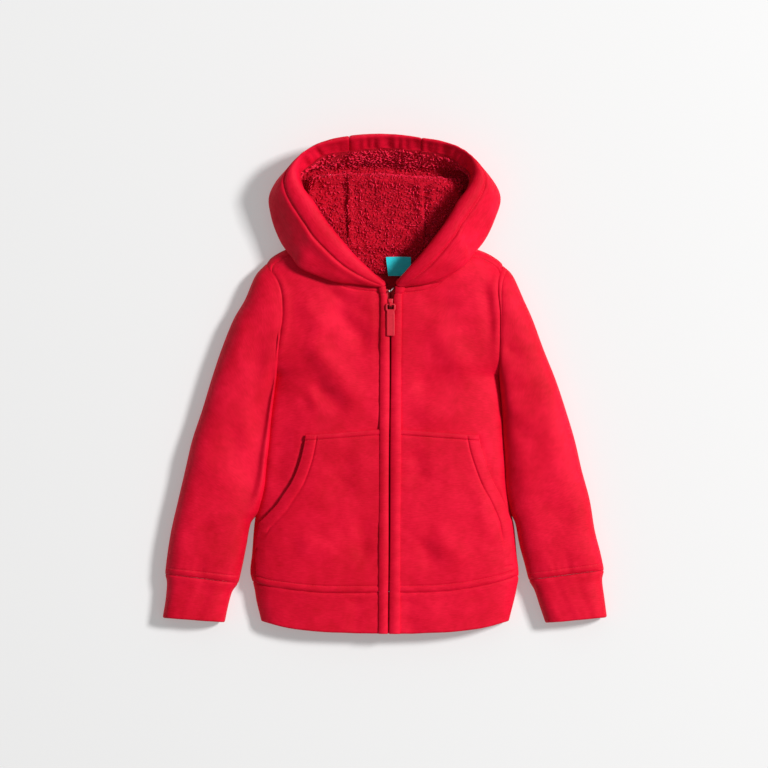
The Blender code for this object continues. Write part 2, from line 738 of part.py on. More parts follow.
def lining_depth(u, v):
    return SHERPA * (1.0 - 0.35 * math.exp(-((v - 0.3) / 0.14) ** 2))


def sleeve_depth(u, v):
    """Pressed thin where it is creased under the arm."""
    under_arm = max(0.0, 1.0 - min(u, 1.0 - u) / 0.16) * (1.0 - smooth(0.0, 0.3, v))
    return FLEECE * (1.0 - 0.55 * under_arm)


def hood_surface(side):
    def surface(u, v):
        return over_body(spline(HOOD_KNOTS, hood_controls(side, u * (len(HOOD) - 1)), v))

    return surface


def facing_axis(side, at):
    """The direction in which the turned-in edge of the hood runs on into its lining."""
    hem, edge = hood_controls(side, at)[:2]
    return (hem - edge).normalized()


def level_hood(side, first, count):
    """Square to the facing's end and, at the centre panel, to the hood's long seams."""
    def level(u, v, point):
        axes = [facing_axis(side, first + u * count)] if v < 0.001 else []
        if u > 0.999 or (count == 0 and u < 0.001):
            axes.append(ACROSS)
        return axes

    return level


def centre_surface(u, v):
    last = len(HOOD) - 1
    left = spline(HOOD_KNOTS, hood_controls(-1, last), v)
    right = spline(HOOD_KNOTS, hood_controls(1, last), v)
    left.x += GAP
    right.x -= GAP
    point = left + (right - left) * u
    bow = 1.0 - (2.0 * u - 1.0) ** 2
    point.y += CENTRE_BULGE * bow * (1.0 - smooth(0.4, 0.7, v))
    point.y -= 4.4 * bow * smooth(0.7, 1.0, v)
    point.z = max(point.z, 0.0)
    return point


def lining_controls(side, at):
    knots = list(range(len(LINING)))
    first = len(HOOD) - len(LINING)
    start = hood_controls(side, first + at)[0] + facing_axis(side, first + at) * LINING_STEP
    names = ("low", "crest", "plateau", "neck")
    return [start] + [spline(knots, [on_side(getattr(rib, name), side) for rib in LINING], at)
                      for name in names]


def lining_surface(side):
    def surface(u, v):
        return spline(LINING_KNOTS, lining_controls(side, u * (len(LINING) - 1)), v)

    return surface


def lining_centre_surface(u, v):
    last = len(LINING) - 1
    left = spline(LINING_KNOTS, lining_controls(-1, last), v)
    right = spline(LINING_KNOTS, lining_controls(1, last), v)
    left.x += GAP
    right.x -= GAP
    point = left + (right - left) * u
    bow = 1.0 - (2.0 * u - 1.0) ** 2
    point.y += CENTRE_BULGE * bow * (1.0 - smooth(0.0, 0.4, v))
    return point


def label_surface(u, v):
    x = LABEL["x"][0] + (LABEL["x"][1] - LABEL["x"][0]) * u
    y = LABEL["y"][0] + (LABEL["y"][1] - LABEL["y"][0]) * v
    return Vector((x, y, LABEL["end_z"] + (LABEL["top_z"] - LABEL["end_z"]) * v * v))


# ==== zip hardware ======================================================================
def hinge_point():
    z = crown(SLIDER_Y) + EDGE_DOME + 0.6 + PULL_THICK / 2
    return Vector((zip_x(SLIDER_Y), SLIDER_Y, z))


def pull_mesh():
    """Flat pull tab with a slot; the bar beyond the slot turns in the bridge."""
    half = PULL_WIDTH / 2
    columns = (-half, -half + 1.8, half - 1.8, half)
    lengths = (-PULL_LENGTH, -PULL_LENGTH + 1.2, -9.0, -PULL_BAR - PULL_HOLE, -PULL_BAR, PULL_BAR)
    mesh = bmesh.new()
    bmesh.ops.create_grid(mesh, x_segments=3, y_segments=len(lengths) - 1, size=0.5)
    for vert in mesh.verts:
        across = columns[round((vert.co.x + 0.5) * 3)]
        along = lengths[round((vert.co.y + 0.5) * (len(lengths) - 1))]
        tip = 0.85 if along == lengths[0] else 1.0
        vert.co = Vector((across * tip, along, -PULL_THICK / 2)) * MM
    slot = [f for f in mesh.faces
            if abs(f.calc_center_median().x) < 1.0 * MM
            and -PULL_BAR - PULL_HOLE < f.calc_center_median().y / MM < -PULL_BAR]
    bmesh.ops.delete(mesh, geom=slot, context="FACES")
    grown = bmesh.ops.extrude_face_region(mesh, geom=mesh.faces[:])["geom"]
    raised_verts = [item for item in grown if isinstance(item, bmesh.types.BMVert)]
    bmesh.ops.translate(mesh, verts=raised_verts, vec=(0.0, 0.0, PULL_THICK * MM))
    face_outwards(mesh)
    return mesh


def slider_mesh():
    """Slider body between the tapes, with the bridge that holds the pull."""
    hinge = hinge_point()
    floor_z = crown(SLIDER_Y) - 5.0 - hinge.z
    top = -PULL_THICK / 2 - 0.5
    mesh = bmesh.new()
    steps = 8
    profile = [(-7.6, floor_z), (6.6, floor_z), (6.6, top), (BRIDGE_OUTER, top)]
    profile += [(BRIDGE_OUTER * math.cos(math.pi * k / steps), BRIDGE_OUTER * math.sin(math.pi * k / steps))
                for k in range(steps + 1)]
    profile += [(-BRIDGE_OUTER, top), (-7.6, top)]
    hole = [(BRIDGE_INNER * math.cos(math.pi * k / steps), BRIDGE_INNER * math.sin(math.pi * k / steps))
            for k in range(steps + 1)]
    hole = [(BRIDGE_INNER, top)] + hole + [(-BRIDGE_INNER, top)]
    for ring in (profile, hole):
        verts = [mesh.verts.new((-BRIDGE_WIDTH / 2 * MM, y * MM, z * MM)) for y, z in ring]
        for k, vert in enumerate(verts):
            mesh.edges.new((vert, verts[(k + 1) % len(verts)]))
    bmesh.ops.triangle_fill(mesh, use_beauty=True, edges=mesh.edges[:])
    grown = bmesh.ops.extrude_face_region(mesh, geom=mesh.faces[:])["geom"]
    moved = [item for item in grown if isinstance(item, bmesh.types.BMVert)]
    bmesh.ops.translate(mesh, verts=moved, vec=(BRIDGE_WIDTH * MM, 0.0, 0.0))
    for vert in mesh.verts:
        if vert.co.z < (top + 0.01) * MM and (abs(vert.co.y) > (BRIDGE_OUTER + 0.1) * MM
                                              or vert.co.z < (top - 0.5) * MM):
            vert.co.x *= 2.0 * CHAIN_HALF / BRIDGE_WIDTH
    face_outwards(mesh)
    return mesh


# ==== the hoodie ==========================================================================
def main():
    for old in list(bpy.data.objects):
        bpy.data.objects.remove(old, do_unlink=True)
    garment = bpy.data.collections.new("kids_hoodie")
    bpy.context.scene.collection.children.link(garment)

    fleece = material("red_fleece", (0.62, 0.012, 0.022), 0.9)
    sherpa = material("red_sherpa", (0.52, 0.010, 0.020), 0.95)
    teal = material("teal_label", (0.0, 0.33, 0.36), 0.6)
    coil = material("red_zip", (0.50, 0.015, 0.02), 0.55)
    enamel = material("red_enamel", (0.55, 0.012, 0.02), 0.4)

    place("back_panel", cloth_wall(back_surface, 20, 13, FLEECE, flip=True, keep=below_side,
                                   level=level_body), fleece, garment)
    place("hem_band", cloth_wall(band_surface, 38, 2, DOUBLE, flip=True, level=level_seam_above),
          fleece, garment)
    last = len(HOOD) - 1
    lined = len(LINING) - 1
    for side in (-1, 1):
        tag = side_name(side)
        mirrored = side < 0
        place("front_" + tag, cloth_wall(front_surface(side), 12, 18, FLEECE,
                                         flip=mirrored, keep=above_side, level=level_body),
              fleece, garment)
        place("pocket_" + tag, cloth_wall(pocket_surface(side), 8, 8, FLEECE, flip=mirrored,
                                          level=level_seam_below), fleece, garment)
        place("front_edge_" + tag, cloth_wall(front_edge_surface(side), 5, 30, DOUBLE,
                                              flip=mirrored), fleece, garment)
        place("zip_tape_" + tag, cloth_wall(tape_surface(side), 1, 20, TAPE_THICK,
                                            flip=mirrored), coil, garment)
        place("sleeve_" + tag, cloth_wall(tube_surface(side, SLEEVES[side], True), 24, 12,
                                          sleeve_depth, loop=True, flip=not mirrored,
                                          level=level_tube(side, SLEEVES[side], True)), fleece, garment)
        place("cuff_" + tag, cloth_wall(tube_surface(side, CUFFS[side], False), 24, 3,
                                        DOUBLE, loop=True, flip=not mirrored,
                                        level=level_tube(side, CUFFS[side], False)), fleece, garment)
        place("hood_" + tag, cloth_wall(hood_surface(side), 22, 14, hood_depth, flip=not mirrored,
                                        keep=over_body, level=level_hood(side, 0, last)),
              fleece, garment)
        place("lining_" + tag, cloth_wall(lining_surface(side), 10, 10, lining_depth, flip=mirrored,
                                          level=level_hood(side, last - lined, lined)),
              sherpa, garment)
    place("hood_centre", cloth_wall(centre_surface, 5, 14, centre_depth,
                                    level=level_hood(-1, last, 0)), fleece, garment)
    place("lining_centre", cloth_wall(lining_centre_surface, 6, 10, lining_depth, flip=True,
                                      level=level_hood(-1, last, 0)), sherpa, garment)
    place("neck_label", cloth_wall(label_surface, 2, 4, LABEL["thick"]), teal, garment)
    place("zip_chain", cloth_wall(chain_surface, 1, 12, CHAIN_THICK), coil, garment)

    hinge = hinge_point() * MM
    slider = place("zip_slider", slider_mesh(), enamel, garment)
    slider.location = hinge
    pull = place("zip_pull", pull_mesh(), enamel, garment)
    pull.location = hinge


main()
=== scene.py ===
"""Scene for a child's zip hoodie in heavy red fleece, laid out face up, its hood open.

The garment lies on its back on z = 0, hood towards +Y, wearer's left sleeve towards
+X.  Tables and surfaces are in millimetres; finished meshes are in metres.
"""
from __future__ import annotations

import logging
import math
from dataclasses import dataclass, field
from enum import Enum
from typing import NamedTuple, Sequence

import bmesh
import bpy
import numpy as np
from bmesh.types import BMesh, BMVert
from bpy.types import Material, Mesh, Node, NodeSocket, NodeTree, Object
from mathutils import Matrix, Vector


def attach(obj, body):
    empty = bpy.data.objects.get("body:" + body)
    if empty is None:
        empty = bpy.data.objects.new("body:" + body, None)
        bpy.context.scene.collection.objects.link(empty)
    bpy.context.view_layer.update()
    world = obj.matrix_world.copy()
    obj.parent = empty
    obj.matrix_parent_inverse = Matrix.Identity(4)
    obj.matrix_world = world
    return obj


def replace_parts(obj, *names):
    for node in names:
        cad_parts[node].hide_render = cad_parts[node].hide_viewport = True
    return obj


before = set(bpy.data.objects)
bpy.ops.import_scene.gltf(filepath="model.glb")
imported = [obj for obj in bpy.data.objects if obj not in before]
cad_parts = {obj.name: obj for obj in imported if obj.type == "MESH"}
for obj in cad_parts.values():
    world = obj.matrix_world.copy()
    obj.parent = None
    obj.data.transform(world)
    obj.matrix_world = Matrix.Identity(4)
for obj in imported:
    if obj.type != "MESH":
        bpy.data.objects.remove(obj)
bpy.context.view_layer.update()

log = logging.getLogger("hoodie")
Array = np.ndarray
MM = 0.001
GARMENT = "garment"
LEAST_Z = 0.05                  # cloth lies this far above the ground
LEFT, RIGHT = -1, 1


# ==== curves and tables ====
class Station(NamedTuple):
    """The body's outline and height at one place up its length."""

    y: float
    left: float
    right: float
    height: float


class Edge(NamedTuple):
    """How far up an edge runs, at a share of the way from zip to side."""

    across: float
    left: float
    right: float


class Slant(NamedTuple):
    """Where the pockets' openings run, at one place up the body."""

    y: float
    left: float
    right: float


class Arm(NamedTuple):
    """Outer and inner edge of a sleeve or cuff, and its height."""

    outer_x: float
    outer_y: float
    inner_x: float
    inner_y: float
    height: float


class Rib(NamedTuple):
    """One section of the hood, from the facing's end round to the neck seam."""

    hem: tuple
    edge: tuple
    crest: tuple
    roll: tuple
    foot: tuple
    neck: tuple
    ease: tuple


class LiningRib(NamedTuple):
    """One section of the hood lining, from the facing to the neck seam."""

    low: tuple
    crest: tuple
    plateau: tuple
    neck: tuple


# Outline of the body, from below the hem to above the shoulders.
BODY = (
    Station(-206, -147.5, 136.5, 27.0),
    Station(-189, -150.3, 139.8, 28.0),
    Station(-164, -156.0, 146.0, 29.5),
    Station(-148, -158.7, 149.3, 30.5),
    Station(-132, -163.0, 151.3, 31.5),
    Station(-110, -161.0, 149.0, 32.5),
    Station(-78, -158.5, 146.0, 33.5),
    Station(-61, -156.0, 142.5, 34.0),
    Station(-35, -148.6, 137.5, 34.5),
    Station(-6, -145.7, 136.0, 35.0),
    Station(23, -142.7, 134.0, 35.5),
    Station(70, -138.6, 131.5, 35.5),
    Station(99.4, -135.1, 129.9, 35.0),
    Station(129, -131.0, 129.3, 34.5),
    Station(152, -127.0, 129.5, 34.0),
    Station(173, -124.6, 129.3, 34.0),
    Station(199, -126.9, 126.8, 34.0),
    Station(216, -134.0, 128.6, 34.0),
    Station(229.3, -144.5, 134.0, 34.0),
    Station(260, -146.0, 135.0, 34.0),
)
# Top edges of the front panels: neck seam, side neck, shoulder, tip.
TOP_EDGE = (
    Edge(0.09, 206.0, 205.0),
    Edge(0.20, 206.5, 205.5),
    Edge(0.34, 209.0, 208.5),
    Edge(0.45, 214.0, 215.5),
    Edge(0.52, 226.0, 226.0),
    Edge(0.57, 242.0, 241.0),
    Edge(0.60, 254.0, 253.0),
    Edge(0.68, 252.0, 249.5),
    Edge(0.77, 248.5, 246.0),
    Edge(0.86, 243.5, 241.0),
    Edge(0.94, 237.0, 234.5),
    Edge(0.985, 231.5, 229.5),
    Edge(1.00, 229.3, 227.0),
)
HEM_SEAM = (
    Edge(0.00, -154.4, -154.4),
    Edge(0.30, -155.0, -154.4),
    Edge(0.50, -154.5, -152.0),
    Edge(0.70, -151.0, -146.5),
    Edge(0.85, -147.0, -141.0),
    Edge(1.00, -142.0, -135.7),
)
HEM_EDGE = (
    Edge(0.00, -203.6, -203.6),
    Edge(0.30, -202.6, -202.9),
    Edge(0.55, -201.2, -201.2),
    Edge(0.80, -196.8, -196.6),
    Edge(1.00, -189.5, -189.5),
)
# The pockets' slanted openings, from their top corners down past the sides.
POCKET_OPENING = (
    Slant(32, -97.5, 103.2),
    Slant(16, -100.0, 106.0),
    Slant(-3, -104.7, 111.7),
    Slant(-25, -113.5, 120.0),
    Slant(-42, -124.5, 129.0),
    Slant(-52, -131.0, 133.5),
    Slant(-64, -142.2, 138.5),
    Slant(-75, -151.5, 141.5),
    Slant(-100, -155.5, 143.5),
    Slant(-160, -153.5, 144.0),
)
# From the armhole down to the cuff, and on to its open end.
SLEEVES = {
    LEFT: (
        Arm(-144.8, 229.3, -135.4, 99.4, 34.0),
        Arm(-157.4, 215.3, -136.9, 79.6, 34.5),
        Arm(-169.6, 187.2, -139.2, 64.3, 34.5),
        Arm(-183.1, 163.8, -141.0, 46.8, 34.0),
        Arm(-197.1, 128.7, -143.3, 23.4, 33.5),
        Arm(-208.8, 93.6, -145.7, 0.0, 33.5),
        Arm(-219.4, 58.5, -148.6, -23.4, 33.0),
        Arm(-231.1, 23.4, -152.7, -43.3, 33.0),
        Arm(-239.3, -11.7, -157.4, -60.8, 32.5),
        Arm(-247.5, -46.8, -163.2, -77.2, 32.0),
        Arm(-255.6, -81.9, -167.3, -99.4, 31.5),
        Arm(-260.3, -111.1, -171.4, -120.5, 31.0),
        Arm(-263.0, -133.4, -176.7, -143.9, 28.0),
    ),
    RIGHT: (
        Arm(133.1, 227.0, 130.2, 99.4, 34.0),
        Arm(144.5, 215.3, 131.0, 79.6, 34.5),
        Arm(157.4, 187.2, 131.6, 64.3, 34.5),
        Arm(167.9, 163.8, 132.8, 46.8, 34.0),
        Arm(180.8, 128.7, 134.0, 23.4, 33.5),
        Arm(194.8, 93.6, 135.7, 0.0, 33.5),
        Arm(206.5, 58.5, 137.5, -23.4, 33.0),
        Arm(217.0, 23.4, 139.8, -43.3, 33.0),
        Arm(225.2, -11.7, 143.3, -60.8, 32.5),
        Arm(234.6, -46.8, 148.0, -77.2, 32.0),
        Arm(240.4, -81.9, 152.1, -99.4, 31.5),
        Arm(246.9, -107.6, 157.9, -120.5, 31.0),
        Arm(251.5, -128.7, 162.9, -140.4, 28.0),
    ),
}
CUFFS = {
    LEFT: (
        Arm(-263.0, -133.9, -176.8, -144.4, 28.5),
        Arm(-260.7, -142.7, -183.7, -153.3, 27.5),
        Arm(-262.3, -163.8, -188.4, -168.7, 27.0),
        Arm(-265.8, -184.9, -193.0, -190.5, 26.0),
    ),
    RIGHT: (
        Arm(251.5, -129.2, 163.0, -140.9, 28.5),
        Arm(249.2, -140.4, 169.6, -152.1, 27.5),
        Arm(252.1, -163.8, 176.1, -171.6, 27.0),
        Arm(254.8, -184.3, 182.9, -191.3, 26.0),
    ),
}
# Left half of the hood's shell, from the zip round to the middle of its back.
HOOD = (
    Rib((-5.4, 209, 31), (-4.6, 205.0, 37.5), (-7.5, 203.0, 39.5), (-10.5, 202.2, 38.5),
        (-12, 202.2, 37), (-13, 202.6, 34.8), (0, 0)),
    Rib((-22, 222, 28), (-22.8, 221, 44), (-31, 213, 47), (-38, 206.4, 42.5),
        (-39, 205.0, 38), (-37.5, 205.4, 34.8), (-4, 0)),
    Rib((-43, 242, 30), (-43.9, 241, 49), (-57, 229, 52), (-67, 212, 44),
        (-66, 209.4, 38.5), (-63, 210.2, 34.8), (-6, 3)),
    Rib((-70, 272, 31), (-69.6, 271.4, 51), (-86, 257, 54), (-101.2, 226, 42),
        (-97, 224.5, 36), (-88, 228, 33.5), (-10, 5)),
    Rib((-79, 286, 31), (-80.5, 286, 51), (-98, 274, 53), (-115, 240, 33),
        (-107, 242.5, 27.5), (-87, 246, 28.5), (-13, 2)),
    Rib((-88, 300, 31), (-89.5, 300.7, 51), (-108, 289, 52), (-128, 257, 24),
        (-117, 262, 8), (-88.5, 252.4, 9.6), (-11, 0)),
    Rib((-100, 317, 30), (-103.5, 319.4, 50), (-120, 310, 50), (-138.6, 285, 23),
        (-124, 281, 0), (-81.5, 250.8, 0), (-6, 0)),
    Rib((-104, 334, 29), (-109.4, 337, 48), (-123, 330, 48.5), (-141, 309, 22),
        (-126, 304, 0), (-72, 249.6, 0), (-2, 0)),
    Rib((-95, 343, 31), (-102.4, 353.4, 46), (-111, 350, 47), (-127, 330, 22),
        (-112, 318, 0), (-64, 248.8, 0), (0, 0)),
    Rib((-80, 355, 33), (-87.2, 365.0, 45), (-91, 365.4, 45), (-97, 360, 29),
        (-88, 341, 0), (-56, 246.6, 0), (0, -1)),
    Rib((-66, 359, 33), (-68.4, 370.4, 45.4), (-70, 373.2, 43), (-70, 372, 31),
        (-66, 347, 0), (-51, 245.5, 0), (0, -2)),
    Rib((-47.2, 361.5, 33), (-47.2, 374.2, 45.5), (-47.2, 377.4, 42.5), (-47.2, 376.6, 31),
        (-47.2, 350, 0), (-47.2, 244.6, 0), (0, -3)),
)
# Shares of the way along a rib at which hem, edge, crest, roll, foot and neck lie.
HOOD_KNOTS = (0.0, 0.16, 0.30, 0.46, 0.66, 1.0)
# How much of a rib's ease, which shifts its right partner, these points take.
HOOD_EASE = {"crest": 0.5, "roll": 1.0, "foot": 0.9}
# Where the hood's middle line runs: places up and across.
HOOD_MIDDLE = ((203, 2.1), (221, -1.0), (241, -2.4), (271, -3.6), (320, -4.7), (400, -4.7))
# Left half of the lining's visible part, from the opening to the back neck.
LINING = (
    LiningRib((-87, 271, 14), (-78, 266, 13), (-70, 260, 11), (-64, 252, 6.8)),
    LiningRib((-98, 287, 14), (-87, 280, 15), (-74, 269, 14), (-62, 251, 6.8)),
    LiningRib((-107, 303, 14), (-96, 295, 16.5), (-78, 279, 17), (-60, 250, 6.8)),
    LiningRib((-108, 319, 14), (-96, 309, 18), (-75, 285, 18.5), (-58, 249, 6.8)),
    LiningRib((-97, 335, 12), (-87, 325, 20), (-68, 289, 19), (-55, 248, 6.8)),
    LiningRib((-77, 338, 11), (-72, 328, 21), (-60, 290, 19), (-52, 247, 6.8)),
    LiningRib((-62, 338.5, 10.5), (-59, 329, 21.5), (-53, 290, 19), (-49.5, 246.5, 6.8)),
    LiningRib((-47.2, 339, 10), (-47.2, 329, 22), (-47.2, 290, 19), (-47.2, 246, 6.8)),
)
# The same shares for the lining: facing, low, crest, plateau and neck.
LINING_KNOTS = (0.0, 0.28, 0.42, 0.68, 1.0)


def column(table: Sequence[NamedTuple], name: str) -> Array:
    """One named column of a table."""
    return np.array([getattr(row, name) for row in table], float)


def side_name(side: int) -> str:
    """Which half of the garment, as it is named in the parts."""
    return "left" if side < 0 else "right"


def smooth(low: float, high: float, value: Array) -> Array:
    """Soft step from 0 at low to 1 at high."""
    share = np.clip((np.asarray(value, float) - low) / (high - low), 0.0, 1.0)
    return share * share * (3.0 - 2.0 * share)


def bell(value: Array, width: float) -> Array:
    """Soft hill, 1 at nought, that has died out two widths away."""
    return np.exp(-(np.asarray(value, float) / width) ** 2)


def oval(share: Array, power: float = 4.0) -> Array:
    """Height share of a full, rounded section, nought at -1 and 1."""
    return np.sqrt(np.maximum(1.0 - np.abs(share) ** power, 0.0))


def swell(share: Array) -> Array:
    """Half a wave, nought at 0 and 1 and beyond them."""
    return np.sin(np.pi * np.clip(share, 0.0, 1.0))


def of_side(pair: Sequence[float], side: int) -> float:
    """The left or the right one of a pair of sizes."""
    return pair[0] if side == LEFT else pair[1]


def run_length(steps: Array) -> Array:
    """How far each point lies from the first, from the steps between them."""
    return np.insert(np.cumsum(steps, axis=0), 0, 0.0, axis=0)


def spline(knots: Sequence[float], values: Array, at: Array) -> Array:
    """Smooth curve through values at knots.

    Args:
        knots: Places of the values, rising.
        values: A number or a point for each knot.
        at: Places at which the curve is wanted.

    Returns:
        A value for each place.
    """
    marks, values, at = (np.asarray(item, float) for item in (knots, values, at))
    index = np.arange(len(marks))
    low, high = np.maximum(index - 1, 0), np.minimum(index + 1, len(marks) - 1)
    slopes = ((values[high] - values[low]).T / (marks[high] - marks[low])).T
    k = np.clip(np.searchsorted(marks, at, side="left") - 1, 0, len(marks) - 2)
    fit = at.shape + (1,) * (values.ndim - 1)
    span = (marks[k + 1] - marks[k]).reshape(fit)
    f = np.clip((at - marks[k]).reshape(fit) / span, 0.0, 1.0)
    ends = values[k] * (2 * f**3 - 3 * f**2 + 1) + values[k + 1] * (3 * f**2 - 2 * f**3)
    return ends + span * (slopes[k] * (f**3 - 2 * f**2 + f) + slopes[k + 1] * (f**3 - f**2))


def by_side(table: Sequence[NamedTuple], along: str, side: Array, at: Array) -> Array:
    """A table's left or right column, between its rows.

    Args:
        table: Rows with a left and a right value.
        along: The column that says where the rows lie.
        side: Which half of the garment, for each place.
        at: The places.

    Returns:
        A value for each place.
    """
    knots = column(table, along)
    left, right = (spline(knots, column(table, name), at) for name in ("left", "right"))
    return np.where(np.asarray(side) < 0, left, right)


def xyz(x: Array, y: Array, z: Array) -> Array:
    """Points from their three coordinates."""
    return np.stack(np.broadcast_arrays(x, y, z), axis=-1).astype(float)


def near_path(path: Array, x: Array, y: Array) -> tuple[Array, Array]:
    """How far places on the ground plan lie from a path.

    Args:
        path: The path's points.
        x: Places across.
        y: Places along.

    Returns:
        Distances from the path, and shares of its length at the nearest spots.
    """
    nearest = np.full(np.shape(x), 1e9)
    along = np.zeros(np.shape(x))
    for k, (start, step) in enumerate(zip(path, np.diff(path, axis=0))):
        share = ((x - start[0]) * step[0] + (y - start[1]) * step[1]) / (step @ step)
        share = np.clip(share, 0.0, 1.0)
        gap = np.hypot(x - start[0] - share * step[0], y - start[1] - share * step[1])
        along = np.where(gap < nearest, (k + share) / (len(path) - 1), along)
        nearest = np.minimum(nearest, gap)
    return nearest, along


@dataclass(frozen=True)
class Lines:
    """Grid lines across a width: close together near both edges, even between."""

    near: tuple
    far: tuple
    count: int

    def at(self, width: Array) -> Array:
        """Where the lines run.

        Args:
            width: The width, or one for each line on the last axis.

        Returns:
            Distances from the near edge, the lines on the last axis.
        """
        inner, outer = self.near[-1], self.far[-1]
        share = np.linspace(0.0, 1.0, self.count + 2)[1:-1]
        slopes = np.concatenate([np.zeros(len(self.near)), share, np.ones(len(self.far))])
        offsets = np.concatenate([self.near, inner * (1 - share) - outer * share,
                                  -np.array(self.far[::-1])])
        return width * slopes + offsets


def stitched(*lines: float) -> tuple:
    """Distances from an edge that follow its roll and each line of stitches.

    Args:
        *lines: Distances of the rows of stitches, if any.

    Returns:
        The distances, rising.
    """
    marks = {0.0, 0.4, 0.9, 1.6, 2.5}
    for line in lines:
        marks |= {round(line + step, 2) for step in (-2.2, -1.4, -0.8, -0.4, 0.0, 0.4, 0.8, 1.4, 2.2)}
    return tuple(sorted(mark for mark in marks if mark >= 0.0))


# ==== the laid-out body ====
@dataclass(frozen=True)
class BodyForm:
    """The outer surfaces on which every piece of the body lies."""

    side_z: float = 11.0
    curl_reach: float = 12.0
    shoulder_roll: float = 30.0
    armpit_ease: float = 22.0
    armhole_dip: float = 0.94
    armpit_y: float = 99.4
    tip_y: tuple = (229.3, 227.0)
    side_neck: float = 0.60
    zip_offset: float = 0.2
    zip_lean: float = 0.0061
    neck_slope: float = 60.0
    bare_from: tuple = (0.85, 0.90)
    bare_depth: float = 6.0

    def zip_x(self, y: Array) -> Array:
        """The zip line, which leans a little."""
        return self.zip_offset + self.zip_lean * np.asarray(y, float)

    def tip(self, side: Array) -> Array:
        """Where the shoulder ends."""
        return np.where(np.asarray(side) < 0, self.tip_y[0], self.tip_y[1])

    def side_x(self, side: Array, y: Array) -> Array:
        """The body's side edge."""
        return by_side(BODY, "y", side, y)

    def crown(self, y: Array) -> Array:
        """Height of the body along the zip."""
        return spline(column(BODY, "y"), column(BODY, "height"), y)

    def edge_y(self, table: Sequence[Edge], side: Array, across: Array) -> Array:
        """How far up an edge runs."""
        return by_side(table, "across", side, across)

    def hem_seam(self, side: Array, across: Array) -> Array:
        """The seam above the hem band."""
        return self.edge_y(HEM_SEAM, side, across)

    def shoulder_y(self, side: Array, across: Array) -> Array:
        """The shoulder seam, carried on over the neck opening."""
        along = self.edge_y(TOP_EDGE, side, np.maximum(across, self.side_neck))
        return along + np.maximum(self.side_neck - across, 0.0) * self.neck_slope

    def arch(self, side: Array, y: Array) -> Array:
        """Height share of the armhole seam, nought at the armpit and shoulder tip.

        Args:
            side: Which half of the garment.
            y: Places up the body, in millimetres.

        Returns:
            Shares of the full height.
        """
        tip = self.tip(side)
        w = (2.0 * y - self.armpit_y - tip) / (tip - self.armpit_y)
        return self.armhole_dip * np.sqrt(1.0 - np.minimum(np.abs(w), 1.0) ** 4)

    def curl(self, distance: Array) -> Array:
        """Share of the side's height that the back has risen near a closed edge."""
        reach = 1.0 - np.clip(distance, 0.0, self.curl_reach) / self.curl_reach
        return 1.0 - np.sqrt(np.maximum(1.0 - reach * reach, 0.0))

    def armpit_rise(self, distance: Array) -> Array:
        """The same share along the armhole, this far above the armpit."""
        return (self.curl(distance) + 1.0 - smooth(0.0, self.armpit_ease, distance)) / 2.0

    def top_z(self, side: Array, across: Array, y: Array) -> Array:
        """Height of the upper layer's outer surface.

        Args:
            side: Which half of the garment.
            across: Shares of the way from zip to side.
            y: Places up the body, in millimetres.

        Returns:
            Heights in millimetres.
        """
        armhole = self.arch(side, y)
        across = np.clip(across, 0.0, 1.0)
        fall = np.sqrt(np.maximum(1.0 - across**4 * (1.0 - armhole * armhole), 0.0))
        depth = np.clip(self.shoulder_y(side, across) - y, 0.0, self.shoulder_roll)
        roll = np.sqrt(1.0 - (1.0 - depth / self.shoulder_roll) ** 2)
        bare = smooth(*self.bare_from, across) * (1.0 - smooth(0.0, self.bare_depth, depth))
        kept = (1.0 - roll) * across**12 * (1.0 - bare)
        roll = np.where(y > self.armpit_y, roll + kept, roll)
        return self.side_z + (self.crown(y) - self.side_z) * fall * roll

    def across_x(self, side: Array, across: Array, y: Array) -> Array:
        """How far out a share of the way from zip to side is."""
        return self.zip_x(y) + across * (self.side_x(side, y) - self.zip_x(y))

    def top(self, side: Array, across: Array, y: Array) -> Array:
        """Points of the upper layer."""
        return xyz(self.across_x(side, across, y), y, self.top_z(side, across, y))

    def under(self, side: Array, across: Array, y: Array) -> Array:
        """Points of the lower layer: flat, curling up to its closed edges.

        Args:
            side: Which half, for each place.
            across: Shares of the way from zip to side.
            y: Places up the body.

        Returns:
            The points.
        """
        rise = self.curl((1.0 - across) * self.half_width(side, y))
        rise = rise * np.where(y > self.armpit_y, self.armpit_rise(np.maximum(y - self.armpit_y, 0)), 1.0)
        to_shoulder = self.shoulder_y(side, across) - y
        near = smooth(self.side_neck - 0.05, self.side_neck + 0.02, across)
        rise = np.maximum(rise, self.curl(to_shoulder) * near)
        return xyz(self.across_x(side, across, y), y, self.side_z * rise)

    def half_width(self, side: Array, y: Array) -> Array:
        """From the zip line to the side."""
        return np.abs(self.side_x(side, y) - self.zip_x(y))


FORM = BodyForm()


# ==== folds ====
@dataclass(frozen=True)
class Fold:
    """A soft trough (depth below nought) or ridge along a path on the ground plan."""

    path: tuple
    width: float
    depth: float
    taper: float = 0.35

    def height(self, x: Array, y: Array) -> Array:
        """How far this fold lifts or sinks each place.

        Args:
            x: Places across, in millimetres.
            y: Places along, in millimetres.

        Returns:
            Heights in millimetres.
        """
        knots = np.linspace(0.0, 1.0, len(self.path))
        nearest, along = near_path(spline(knots, self.path, np.linspace(0.0, 1.0, 13)), x, y)
        ends = smooth(0.0, self.taper, along) * smooth(0.0, self.taper, 1.0 - along)
        uneven = 1.0 + 0.18 * np.sin(9.0 * along + self.depth * 5.0)
        return self.depth * ends * uneven * bell(nearest, self.width * (0.85 + 0.3 * along))


def folded(folds: Sequence[Fold], x: Array, y: Array) -> Array:
    """All of a piece's folds together."""
    return sum((fold.height(x, y) for fold in folds), np.zeros(np.shape(x)))


